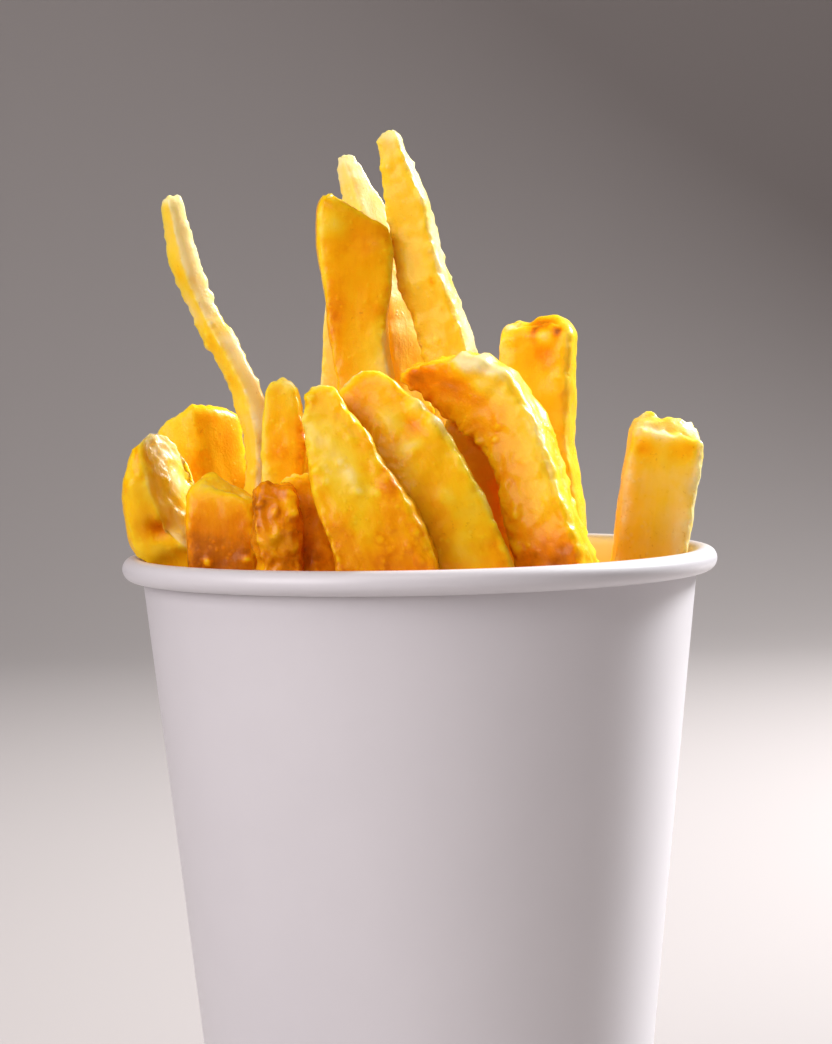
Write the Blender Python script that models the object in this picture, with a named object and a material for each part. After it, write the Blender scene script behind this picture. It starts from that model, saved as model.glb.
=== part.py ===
"""Thick-cut french fries standing in a round white paper cup.

The cup is a conical paper wall with a rolled rim and a folded foot, and a base disc with a
skirt that sits in the fold. The fries are one solid: a packed heap that fills the cup, with
every fry that stands out of it joined on. Sizes are in millimetres and are turned into metres
where the meshes are made. +Z is up, and the origin is under the middle of the cup.
"""
import math
from dataclasses import dataclass

import bmesh
import bpy
import numpy as np
from mathutils import Matrix, Vector

MM = 0.001
SAME_POINT = 0.001
SLIVER = 0.02

# Cup
CUP_HEIGHT = 110.0
RIM_RADIUS = 45.0
BEAD_RADIUS = 1.75
PAPER = 0.6
WALL_SLOPE = 0.105
FOOT_FOLD_HEIGHT = 7.4
BASE_TOP = 8.6
SKIRT_BOTTOM = 1.3
FOOT_CHAMFER = 0.3
GAP = 0.3
TURN_STEPS = 60
BEAD_STEP = math.radians(30.0)
BEAD_POINTS = 11
OVER_BEAD_POINTS = 4

BEAD_CENTRE_Z = CUP_HEIGHT - BEAD_RADIUS
BEAD_CENTRE_R = RIM_RADIUS - BEAD_RADIUS
INNER_RIM_RADIUS = RIM_RADIUS - 2.0 * BEAD_RADIUS

# Heap of fries inside the cup
HEAP_TOP = 101.0
HEAP_DIP = 16.0
HEAP_DIP_CENTRE = (29.0, 12.0)
HEAP_DIP_RADIUS = 18.0
HEAP_BUMP = 1.8
HEAP_WAVES = (0.45, 0.38)
HEAP_TURN_STEPS = 36
HEAP_RINGS = 6
CUTTER_RADIUS = 60.0

# One fry's mesh: shares of its half width, then lengths
SECTION_BEVEL = 0.32
TIP_INSET = 0.22
TIP_DROP = 1.0
RING_SPACING = 5.5
TANGENT_STEP = 0.2
FEWEST_RINGS = 3

# Finishes: red, green, blue, roughness
PAPER_WHITE = (0.80, 0.79, 0.80, 0.45)
FRIED_GOLD = (0.85, 0.48, 0.07, 0.40)


@dataclass(frozen=True)
class Fry:
    """One fry: its middle line from foot to tip, as (x, y, z, width, depth) stations.

    With no roll, the width lies across X and the depth along Y. roll gives the turn about the
    middle line at the foot and at the tip, in degrees. tip_rise is how much further the tip's
    +width side reaches than its other side.
    """

    name: str
    stations: tuple
    roll: tuple = (0.0, 0.0)
    tip_rise: float = 0.0


FRIES = (
    Fry("thin_bent", (
        (-24.2, -1.0, 88, 3.6, 3.4), (-24.2, -1.5, 119, 3.6, 3.4), (-24.3, -1.2, 129, 3.6, 3.4),
        (-25.8, 0.0, 134.6, 3.6, 3.5), (-28.6, 1.5, 140.3, 3.7, 3.5), (-31.7, 2.5, 146, 3.5, 3.4),
        (-34.1, 2.5, 151.8, 3.4, 3.3), (-35.7, 2.0, 158.2, 3.3, 3.2), (-36.8, 1.0, 164.4, 2.8, 2.6)),
        roll=(-52, -48)),
    Fry("left_block", (
        (-28, 7, 88, 9, 9), (-31.6, 8, 110, 11.4, 10.8), (-33.2, 8.6, 121, 12.0, 11.2),
        (-33.8, 9, 128.6, 11.8, 11.0)), roll=(46, 46), tip_rise=-1.8),
    Fry("rim_chunk", (
        (-31.5, -5, 88, 8, 8), (-35.7, -6, 108.2, 8.6, 8), (-37.3, -6.5, 112.6, 10.6, 9.2),
        (-37.9, -7, 118, 12.2, 10.4), (-37.5, -7, 123, 11.8, 10.4), (-37.2, -6.4, 129.0, 8.4, 8.4)),
        tip_rise=-1.0),
    Fry("left_wedge", (
        (-26.0, -14.5, 88, 9.5, 7), (-28.2, -17.5, 110, 10.6, 7.5), (-28.3, -17, 118, 10.2, 7.5),
        (-28.6, -16.2, 122.6, 9.9, 7.2)), roll=(-8, -8), tip_rise=-3.4),
    Fry("narrow_tongue", (
        (-19.5, -16.5, 88, 6.5, 5.6), (-19.4, -17.5, 112, 6.5, 5.6), (-19.4, -17, 122, 6.4, 5.5),
        (-19.4, -16, 129.5, 6.2, 5.2), (-19.4, -14.8, 136.4, 4.4, 3.8)), roll=(4, -4)),
    Fry("crisp_bit", (
        (-18.8, -27, 90, 6, 5), (-19.8, -29.5, 110, 6.4, 5.6), (-20.2, -29.5, 116.4, 6.2, 5.4),
        (-20.6, -28.6, 121.8, 5.4, 4.4)), roll=(-10, 8)),
    Fry("dark_stick", (
        (-12.5, -24.5, 88, 6, 5.6), (-14.4, -26.2, 110, 6.2, 5.6), (-15.8, -25.4, 116.4, 5.6, 5.4),
        (-17.6, -23.8, 122.8, 4.6, 4.8)), roll=(10, 10)),
    Fry("front_slab", (
        (-2.0, -30, 88, 12, 7), (-4.6, -33.6, 110, 13.6, 7.4), (-6.8, -33, 116, 12.8, 7.4),
        (-9.0, -32, 121, 11.2, 7.2), (-10.8, -30.4, 126.3, 9, 6.8), (-12.4, -28.8, 130.6, 6.3, 5.8),
        (-13.7, -27.5, 135.2, 3.6, 4.2)), roll=(-2, -2)),
    Fry("mid_wedge", (
        (9.5, -25.5, 92, 11, 7.5), (6.6, -28.5, 109.7, 12.2, 7.8), (4.7, -28, 114.6, 12, 7.8),
        (2.2, -27, 120.1, 11.6, 7.8), (-0.2, -25.6, 124.4, 11.2, 7.6), (-3.3, -23.6, 128.7, 10.6, 7.2),
        (-6.8, -21.8, 132.8, 8.6, 6.4), (-9.6, -20.6, 135.8, 5.4, 4.8)), roll=(2, 2)),
    Fry("wide_tower", (
        (-7.5, -6, 88, 10, 7), (-7.6, -4, 120, 9.7, 7), (-7.8, -2, 136, 9.7, 7.4),
        (-8.0, 0, 143.6, 9.9, 7.4), (-8.1, 1, 151, 10.5, 7.4), (-8.6, 2, 158, 11, 7.2),
        (-9.0, 2.2, 162.2, 10.4, 6.6)), roll=(10, 4), tip_rise=-5.0),
    Fry("tower_shadow", (
        (-11.0, 5, 88, 6, 3.6), (-11.5, 5, 125, 6, 3.6), (-11.5, 5, 136, 6, 3.6),
        (-10.8, 5, 149.4, 5, 3.4)), roll=(-8, -8)),
    Fry("leaning_tip", (
        (-1.0, 9, 88, 4.5, 8), (-1.6, 9.5, 134, 4.5, 8), (-2.4, 9.8, 140.4, 4.5, 8),
        (-4.1, 11, 149.8, 4.5, 7.4), (-7.0, 12, 160.2, 4.4, 6), (-8.7, 12, 166.2, 3.4, 4.4),
        (-9.9, 12, 170.4, 2.2, 2.8)), roll=(-48, -44)),
    Fry("tall_spear", (
        (9.5, 0.5, 88, 8, 7), (7.6, 1.2, 125, 8, 7), (5.4, 2, 139.4, 7.5, 6.8),
        (2.2, 3, 149.4, 7.2, 6.4), (0.6, 4, 155.6, 7, 6), (-0.9, 4, 163.2, 6.2, 5.4),
        (-2.2, 4, 168.2, 4.8, 4.4), (-3.4, 4, 173.8, 2.6, 2.8)), roll=(-19, -17)),
    Fry("hooked_fry", (
        (22.0, -24, 90, 10, 7.6), (19.3, -25, 109.2, 11.2, 8), (17.4, -23.4, 116.4, 9.8, 8),
        (15.9, -21.4, 122.4, 8.8, 7.8), (13.6, -19, 128.4, 9.2, 7.6), (9.4, -17, 133, 10.6, 7),
        (4.6, -15.4, 135.2, 8.4, 6), (1.2, -14.4, 136, 5.0, 4.8), (-2.0, -13.6, 136.3, 1.8, 2.6)),
        roll=(-4, -20)),
    Fry("inner_stick", (
        (10.8, -14.5, 88, 6.6, 6), (10.2, -15, 114, 6.6, 6), (8.7, -14, 124, 6.6, 6),
        (5.8, -12.4, 131.0, 5, 5))),
    Fry("trough_top", (
        (22.1, 1, 88, 8.6, 7.4), (21.0, 1, 111, 8.6, 7.5), (20.0, 2, 120, 8.8, 7.5),
        (19.2, 3, 129, 9.2, 7.5), (18.7, 3.6, 136, 10.8, 7.5), (18.8, 4, 145.4, 11.6, 7.2)),
        roll=(-18, -14), tip_rise=0.4),
    Fry("right_post", (
        (32.2, -2.6, 86, 10, 8), (34.7, -3, 109.4, 10.9, 8), (35.9, -2.5, 117, 11.0, 8),
        (37.2, -2, 124.4, 11.2, 8), (38.0, -1.6, 130.4, 10.9, 7.6)), tip_rise=-0.8),
    Fry("back_far_left", ((-23, 19, 88, 9, 8), (-26.5, 21.5, 110, 9, 8), (-28.6, 23.4, 123.6, 8.4, 7.4)),
        roll=(-35, -35), tip_rise=1.0),
    Fry("back_left", ((-13.5, 24, 88, 9, 8), (-15.2, 27.5, 112, 9.4, 8), (-16.6, 29.4, 128.4, 8.2, 7.2)),
        roll=(-12, -12), tip_rise=-1.5),
    Fry("back_middle", ((-4.5, 25, 88, 9.6, 8), (-5.2, 29, 115, 9.4, 8), (-6.0, 31, 139.5, 8, 6.8)),
        roll=(4, 14), tip_rise=2.0),
    Fry("back_right", ((5.5, 26, 88, 9, 8), (6.2, 29.5, 112, 9, 8), (7.2, 32, 131.8, 8, 7)),
        roll=(10, 10), tip_rise=-1.0),
    Fry("back_far_right", ((15, 22, 88, 9, 8), (16.2, 24.6, 112, 9, 8), (17.4, 26.6, 133.6, 7.6, 7)),
        roll=(28, 28), tip_rise=1.2),
    Fry("inner_left", ((-15, 9, 88, 8, 8), (-16.2, 10.5, 110, 8.4, 8), (-17.4, 12, 127.6, 7, 7)),
        roll=(20, 20), tip_rise=0.8),
    Fry("inner_middle", ((4.5, 13, 88, 9, 8), (5.2, 14.4, 112, 9, 8), (5.8, 15.6, 133, 7.8, 7)),
        roll=(-18, -18), tip_rise=-1.2),
    Fry("low_front_right", ((24.5, -11, 84, 9, 8), (26.2, -12, 102.4, 8.4, 7.4)),
        roll=(20, 20), tip_rise=1.0),
    Fry("low_back_right", ((21, 29, 78, 9, 8), (22.4, 30, 99.4, 8.4, 7.4)),
        roll=(-38, -38), tip_rise=-1.4),
    Fry("low_right", ((32.0, 13.0, 76, 8.5, 7.5), (33.0, 13.6, 93.5, 8, 7)),
        roll=(55, 55), tip_rise=1.4),
)


def clear_scene():
    """Remove every object that the file opened with."""
    for thing in list(bpy.data.objects):
        bpy.data.objects.remove(thing, do_unlink=True)


def make_material(name, finish):
    """Make a plain Principled material from a (red, green, blue, roughness) finish."""
    material = bpy.data.materials.new(name)
    material.use_nodes = True
    shader = material.node_tree.nodes["Principled BSDF"]
    shader.inputs["Base Color"].default_value = (*finish[:3], 1.0)
    shader.inputs["Roughness"].default_value = finish[3]
    shader.inputs["Metallic"].default_value = 0.0
    return material


def add_object(name, shape, material):
    """Put a bmesh, made in millimetres, into the scene as a named object in metres."""
    bmesh.ops.scale(shape, vec=(MM, MM, MM), verts=shape.verts)
    bmesh.ops.recalc_face_normals(shape, faces=shape.faces)
    mesh = bpy.data.meshes.new(name)
    shape.to_mesh(mesh)
    shape.free()
    mesh.materials.append(material)
    thing = bpy.data.objects.new(name, mesh)
    bpy.context.collection.objects.link(thing)
    return thing


def shade_round(thing, angle=35.0):
    """Shade smooth, keeping edges sharper than the angle crisp."""
    thing.data.shade_smooth()
    thing.data.set_sharp_from_angle(angle=math.radians(angle))


def turned_solid(profile, steps):
    """Turn a profile of (radius, height) points, open or closed, once round the Z axis."""
    shape = bmesh.new()
    points = [shape.verts.new((radius, 0.0, height)) for radius, height in profile]
    edges = [shape.edges.new(pair) for pair in zip(points, points[1:])]
    if profile[0][0] > 0.0:
        edges.append(shape.edges.new((points[-1], points[0])))
    bmesh.ops.spin(shape, geom=points + edges, axis=(0, 0, 1), cent=(0, 0, 0),
                   angle=math.tau, steps=steps, use_merge=True)
    bmesh.ops.remove_doubles(shape, verts=shape.verts, dist=SAME_POINT)
    return shape


def inner_radius(height):
    """Radius of the cup wall's inner face at a height."""
    return INNER_RIM_RADIUS - WALL_SLOPE * (BEAD_CENTRE_Z - height)


def cup_wall_profile():
    """Outline of the wall's section: rolled rim, outer face, foot, fold, slot and inner face."""
    outer_join = BEAD_CENTRE_Z - math.sqrt(BEAD_RADIUS ** 2 - (BEAD_RADIUS - PAPER) ** 2)
    profile = []
    for step in range(BEAD_POINTS):
        angle = math.pi - BEAD_STEP * step
        profile.append((BEAD_CENTRE_R + BEAD_RADIUS * math.cos(angle),
                        BEAD_CENTRE_Z + BEAD_RADIUS * math.sin(angle)))
    fold_outer = -PAPER - 2.0 * GAP
    fold_inner = fold_outer - PAPER
    profile += [
        (inner_radius(outer_join) + PAPER, outer_join),
        (inner_radius(FOOT_CHAMFER) + PAPER, FOOT_CHAMFER),
        (inner_radius(0.0) + PAPER - FOOT_CHAMFER, 0.0),
        (inner_radius(0.0) + fold_inner + FOOT_CHAMFER, 0.0),
        (inner_radius(FOOT_CHAMFER) + fold_inner, FOOT_CHAMFER),
        (inner_radius(FOOT_FOLD_HEIGHT) + fold_inner, FOOT_FOLD_HEIGHT),
        (inner_radius(FOOT_FOLD_HEIGHT) + fold_outer, FOOT_FOLD_HEIGHT),
        (inner_radius(SKIRT_BOTTOM - GAP) + fold_outer, SKIRT_BOTTOM - GAP),
        (inner_radius(SKIRT_BOTTOM - GAP), SKIRT_BOTTOM - GAP),
    ]
    return profile


def make_cup_wall(material):
    """The conical paper wall with its rolled rim and its folded foot."""
    wall = add_object("cup_wall", turned_solid(cup_wall_profile(), TURN_STEPS), material)
    shade_round(wall)
    return wall


def make_cup_base(material):
    """The base disc and the skirt that hangs from its edge into the fold of the foot."""
    profile = [
        (0.0, BASE_TOP),
        (inner_radius(BASE_TOP) - GAP, BASE_TOP),
        (inner_radius(SKIRT_BOTTOM) - GAP, SKIRT_BOTTOM),
        (inner_radius(SKIRT_BOTTOM) - GAP - PAPER, SKIRT_BOTTOM),
        (inner_radius(BASE_TOP - PAPER) - GAP - PAPER, BASE_TOP - PAPER),
        (0.0, BASE_TOP - PAPER),
    ]
    base = add_object("cup_base", turned_solid(profile, TURN_STEPS), material)
    shade_round(base)
    return base


def heap_height(x, y):
    """Height of the heap's uneven top, which sinks where the cup isn't full."""
    away = math.dist((x, y), HEAP_DIP_CENTRE) / HEAP_DIP_RADIUS
    dip = HEAP_DIP * math.exp(-away * away)
    wave_x, wave_y = HEAP_WAVES
    return HEAP_TOP - dip + HEAP_BUMP * math.sin(wave_x * x) * math.cos(wave_y * y)


def make_heap(material):
    """The packed heap inside the cup, a gap away from its wall and its base."""
    low = BASE_TOP + GAP
    edge = inner_radius(HEAP_TOP) - GAP
    profile = [(0.0, low), (inner_radius(low) - GAP, low)]
    profile += [(edge * (HEAP_RINGS - ring) / HEAP_RINGS, HEAP_TOP) for ring in range(HEAP_RINGS + 1)]
    shape = turned_solid(profile, HEAP_TURN_STEPS)
    for corner in shape.verts:
        if corner.co.z > low + GAP:
            corner.co.z = heap_height(corner.co.x, corner.co.y)
            share = (inner_radius(corner.co.z) - GAP) / edge
            corner.co.x *= share
            corner.co.y *= share
    return add_object("fries", shape, material)


def stations_of(fry):
    """The fry's stations as an array, and how far along the middle line each one stands."""
    stations = np.array(fry.stations, dtype=float)
    runs = np.linalg.norm(np.diff(stations[:, :3], axis=0), axis=1)
    return stations, np.concatenate(([0.0], np.cumsum(runs)))


def section_at(fry, distance):
    """Smoothed (x, y, z, width, depth) at a distance along the middle line, from Hermite spans."""
    stations, marks = stations_of(fry)
    slopes = np.gradient(stations, marks, axis=0)
    index = int(np.clip(np.searchsorted(marks, distance, side="right") - 1, 0, len(marks) - 2))
    span = marks[index + 1] - marks[index]
    part = (distance - marks[index]) / span
    rest = 1.0 - part
    ends = rest * rest * (1.0 + 2.0 * part) * stations[index]
    ends += part * part * (3.0 - 2.0 * part) * stations[index + 1]
    return ends + span * part * rest * (rest * slopes[index] - part * slopes[index + 1])


def fry_length(fry):
    """Length of the straight runs between the fry's stations."""
    return stations_of(fry)[1][-1]


def fry_frame(fry, along):
    """Place, directions and half sizes of the fry's section at a share, 0 to 1, of its length."""
    length = fry_length(fry)
    here = section_at(fry, along * length)
    behind = section_at(fry, max(along * length - TANGENT_STEP, 0.0))
    ahead = section_at(fry, min(along * length + TANGENT_STEP, length))
    tangent = Vector(ahead[:3] - behind[:3]).normalized()
    across = tangent.cross(Vector((0.0, -1.0, 0.0))).normalized()
    roll = math.radians(fry.roll[0] + (fry.roll[1] - fry.roll[0]) * along)
    across = Matrix.Rotation(roll, 3, tangent) @ across
    return Vector(here[:3]), across, tangent.cross(across), tangent, 0.5 * here[3], 0.5 * here[4]


def upright_edges(shape):
    """The edges that run from the bar's foot to its tip."""
    return [edge for edge in shape.edges if abs(edge.verts[0].co.z - edge.verts[1].co.z) > 1.0]


def make_fry(fry, material):
    """One fry: a bevelled bar cut into rings, bent along its middle line, its tip rounded."""
    rings = max(FEWEST_RINGS, round(fry_length(fry) / RING_SPACING))
    shape = bmesh.new()
    bmesh.ops.create_cube(shape, size=2.0)
    bmesh.ops.bevel(shape, geom=upright_edges(shape), offset=SECTION_BEVEL, segments=1, profile=0.5,
                    affect="EDGES", material=-1)
    bmesh.ops.subdivide_edges(shape, edges=upright_edges(shape), cuts=rings)
    tip_face = max(shape.faces, key=lambda face: face.calc_center_median().z)
    bmesh.ops.inset_region(shape, faces=[tip_face], thickness=TIP_INSET, depth=0.0)
    for corner in shape.verts:
        side, face, up = corner.co
        centre, across, through, tangent, half_width, half_depth = fry_frame(fry, 0.5 * (up + 1.0))
        at_tip = up > 1.0 - SAME_POINT
        on_edge = max(abs(side), abs(face)) > 1.0 - SAME_POINT
        lift = 0.5 * fry.tip_rise * side * at_tip - TIP_DROP * (at_tip and on_edge)
        corner.co = centre + across * (side * half_width) + through * (face * half_depth) + tangent * lift
    return add_object(fry.name, shape, material)


def combine(heap, pieces, operation):
    """Join pieces to the heap, or cut them away, with one exact Boolean, and remove the loose pieces."""
    tools = bpy.data.collections.new(operation.lower())
    for piece in pieces:
        tools.objects.link(piece)
    change = heap.modifiers.new(tools.name, "BOOLEAN")
    change.operation = operation
    change.solver = "EXACT"
    change.operand_type = "COLLECTION"
    change.collection = tools
    change.use_self = True
    graph = bpy.context.evaluated_depsgraph_get()
    joined = bmesh.new()
    joined.from_object(heap, graph)
    heap.modifiers.clear()
    bmesh.ops.dissolve_degenerate(joined, edges=joined.edges, dist=SLIVER * MM)
    bmesh.ops.triangulate(joined, faces=joined.faces)
    joined.to_mesh(heap.data)
    joined.free()
    for piece in pieces:
        bpy.data.objects.remove(piece, do_unlink=True)


def make_wall_cutter(material):
    """A thick ring round the cup's inside, a gap inward of the wall and over its rolled rim."""
    over_bead = BEAD_RADIUS + GAP
    profile = [(inner_radius(0.0) - GAP, 0.0), (CUTTER_RADIUS, 0.0), (CUTTER_RADIUS, CUP_HEIGHT + GAP)]
    for step in range(OVER_BEAD_POINTS):
        angle = 0.5 * math.pi + BEAD_STEP * step
        profile.append((BEAD_CENTRE_R + over_bead * math.cos(angle),
                        BEAD_CENTRE_Z + over_bead * math.sin(angle)))
    cutter = add_object("wall_cutter", turned_solid(profile, TURN_STEPS), material)
    cutter.hide_render = True
    cutter.display_type = "WIRE"
    return cutter


def make_fries(material):
    """The heap with every fry that stands out of it, as one solid, pressed flat by the cup's wall."""
    heap = make_heap(material)
    combine(heap, [make_fry(fry, material) for fry in FRIES], "UNION")
    combine(heap, [make_wall_cutter(material)], "DIFFERENCE")
    shade_round(heap)
    return heap


def main():
    """Build the cup and the fries."""
    clear_scene()
    paper = make_material("cup_paper", PAPER_WHITE)
    make_cup_wall(paper)
    make_cup_base(paper)
    make_fries(make_material("fried_potato", FRIED_GOLD))


main()
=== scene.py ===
"""Thick-cut french fries standing in a round white paper cup.

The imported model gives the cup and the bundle's outline. This script makes what is seen: the cup
with its rolled rim, side seam and folded foot, each fry as its own bent and tapered bar with a
fried crust, the short fries that fill the cup, and the core under them. Lengths are in millimetres
until a mesh is finished. +Z is up, and -Y faces the camera.
"""
import logging
import math
from dataclasses import dataclass, field
from enum import Enum

import bmesh
import bpy
import numpy as np
from mathutils import Matrix, Vector, noise


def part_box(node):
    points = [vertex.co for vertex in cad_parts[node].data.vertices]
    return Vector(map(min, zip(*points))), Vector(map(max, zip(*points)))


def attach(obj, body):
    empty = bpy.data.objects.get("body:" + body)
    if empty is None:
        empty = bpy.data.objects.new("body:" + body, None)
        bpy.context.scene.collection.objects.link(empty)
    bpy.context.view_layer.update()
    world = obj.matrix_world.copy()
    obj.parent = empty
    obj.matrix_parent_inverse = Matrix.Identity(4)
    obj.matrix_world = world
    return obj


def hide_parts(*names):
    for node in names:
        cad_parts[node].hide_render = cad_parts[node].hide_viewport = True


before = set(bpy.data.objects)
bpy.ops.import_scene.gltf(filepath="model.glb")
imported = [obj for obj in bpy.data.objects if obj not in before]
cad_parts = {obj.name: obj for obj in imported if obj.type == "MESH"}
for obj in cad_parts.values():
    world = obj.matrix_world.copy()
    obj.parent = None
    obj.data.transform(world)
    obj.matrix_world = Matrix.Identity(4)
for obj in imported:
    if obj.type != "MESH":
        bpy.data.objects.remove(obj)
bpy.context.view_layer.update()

MM = 0.001
SAME_POINT = 1e-4
BODY = "root"
LOG = logging.getLogger("fries_in_a_cup")

Station = tuple[float, float, float, float, float]
Color = tuple[float, float, float]
Row = tuple[float, float]
Triple = tuple[float, float, float]
Ramp = tuple[tuple[float, Color], ...]


class Slot(Enum):
    """The record's material slots."""

    CUP_PAPER = "cup_paper"
    FRIED_POTATO = "fried_potato"


class Batch(Enum):
    """The pieces that the fries are joined into, each with its cell size in millimetres."""

    TALL = ("fries_tall", 0.46)
    FRONT = ("fries_front", 0.44)
    CRISP = ("fries_crisp", 0.34)
    BACK = ("fries_back", 0.58)
    LOW = ("fries_low", 0.74)

    def __init__(self, piece: str, cell: float) -> None:
        """Keep the piece's name and its cell size."""
        self.piece = piece
        self.cell = cell


# ---------------------------------------------------------------- small tools


def noise_at(points: np.ndarray, size: float) -> np.ndarray:
    """Smooth noise at many points.

    Args:
        points: Points in millimetres, one a row.
        size: Width of one lump in millimetres.

    Returns:
        A value from about -1 to 1 for each point.
    """
    return np.array([noise.noise(point) for point in (points / size).tolist()])


def domes_at(points: np.ndarray, size: float, reach: float) -> np.ndarray:
    """Round domes scattered in space, such as blisters.

    Args:
        points: Points in millimetres, one a row.
        size: Mean distance between domes in millimetres.
        reach: Radius of a dome as a share of that distance.

    Returns:
        1 at the top of a dome, falling to 0 at its foot.
    """
    nearest = np.array([noise.voronoi(point)[0][0] for point in (points / size).tolist()])
    return np.clip(1.0 - (nearest / reach) ** 2, 0.0, 1.0)


def smooth_step(values: np.ndarray, low: float, high: float) -> np.ndarray:
    """0 below low, 1 above high, and a smooth rise between them."""
    share = np.clip((values - low) / (high - low), 0.0, 1.0)
    return share * share * (3.0 - 2.0 * share)


def unit(rows: np.ndarray) -> np.ndarray:
    """Each row scaled to length 1."""
    return rows / np.linalg.norm(rows, axis=1, keepdims=True)


def read_points(mesh: bpy.types.Mesh) -> np.ndarray:
    """The mesh's vertices, one a row."""
    flat = np.empty(len(mesh.vertices) * 3)
    mesh.vertices.foreach_get("co", flat)
    return flat.reshape(-1, 3)


def read_normals(mesh: bpy.types.Mesh) -> np.ndarray:
    """The mesh's vertex normals, one a row."""
    flat = np.empty(len(mesh.vertices) * 3, dtype=np.float32)
    mesh.vertex_normals.foreach_get("vector", flat)
    return flat.reshape(-1, 3).astype(float)


def write_points(mesh: bpy.types.Mesh, points: np.ndarray) -> None:
    """Put the mesh's vertices where the rows say."""
    mesh.vertices.foreach_set("co", points.astype(np.float32).ravel())
    mesh.update()


def write_attribute(mesh: bpy.types.Mesh, name: str, values: np.ndarray) -> None:
    """Store one number, or one vector, for each vertex under a name that materials read."""
    is_vector = values.ndim == 2
    layer = mesh.attributes.new(name, "FLOAT_VECTOR" if is_vector else "FLOAT", "POINT")
    layer.data.foreach_set("vector" if is_vector else "value", values.astype(np.float32).ravel())


def new_object(name: str, data: bpy.types.ID) -> bpy.types.Object:
    """Put a mesh, a light or a camera into the scene as an object."""
    thing = bpy.data.objects.new(name, data)
    bpy.context.scene.collection.objects.link(thing)
    return thing


def mesh_from(name: str, shape: bmesh.types.BMesh) -> bpy.types.Mesh:
    """Turn a bmesh into a smooth-shaded mesh and free it."""
    mesh = bpy.data.meshes.new(name)
    shape.to_mesh(mesh)
    shape.free()
    mesh.shade_smooth()
    return mesh


def turned_mesh(name: str, outline: list[Row], steps: int, closed: bool) -> bpy.types.Mesh:
    """Turn an outline about the Z axis.

    Args:
        name: The mesh's name.
        outline: Points of (radius, height) in millimetres.
        steps: Number of steps round.
        closed: Whether the outline's last point joins its first.

    Returns:
        The mesh, in millimetres.
    """
    shape = bmesh.new()
    points = [shape.verts.new((radius, 0.0, height)) for radius, height in outline]
    edges = [shape.edges.new(pair) for pair in zip(points, points[1:] + points[:1] * closed)]
    bmesh.ops.spin(shape, geom=points + edges, axis=(0, 0, 1), cent=(0, 0, 0), angle=math.tau, steps=steps,
                   use_merge=True)
    bmesh.ops.remove_doubles(shape, verts=shape.verts, dist=SAME_POINT)
    bmesh.ops.recalc_face_normals(shape, faces=shape.faces)
    return mesh_from(name, shape)


def join_objects(things: list[bpy.types.Object], name: str) -> bpy.types.Object:
    """Join objects into the first of them.

    Args:
        things: The objects, which end as one.
        name: The joined object's name.

    Returns:
        The joined object.
    """
    with bpy.context.temp_override(active_object=things[0], object=things[0], selected_objects=things,
                                   selected_editable_objects=things):
        bpy.ops.object.join()
    things[0].name = name
    things[0].data.name = name
    return things[0]


def finish_piece(thing: bpy.types.Object, material: bpy.types.Material, slot: Slot, *nodes: str) -> None:
    """Dress a piece and tie it to the frame.

    Args:
        thing: The finished object, in metres.
        material: Its finish.
        slot: The record's slot that the finish belongs to.
        *nodes: The CAD nodes that the piece stands for.
    """
    thing.data.materials.clear()
    thing.data.materials.append(material)
    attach(thing, BODY)
    if nodes:
        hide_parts(*nodes)
    triangles = sum(len(face.vertices) - 2 for face in thing.data.polygons)
    LOG.info("%s: %d triangles, slot %s", thing.name, triangles, slot.value)


def opaque(color: object) -> object:
    """A colour with full alpha; a socket stays as it is."""
    return color if isinstance(color, bpy.types.NodeSocket) else (*color, 1.0)


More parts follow.
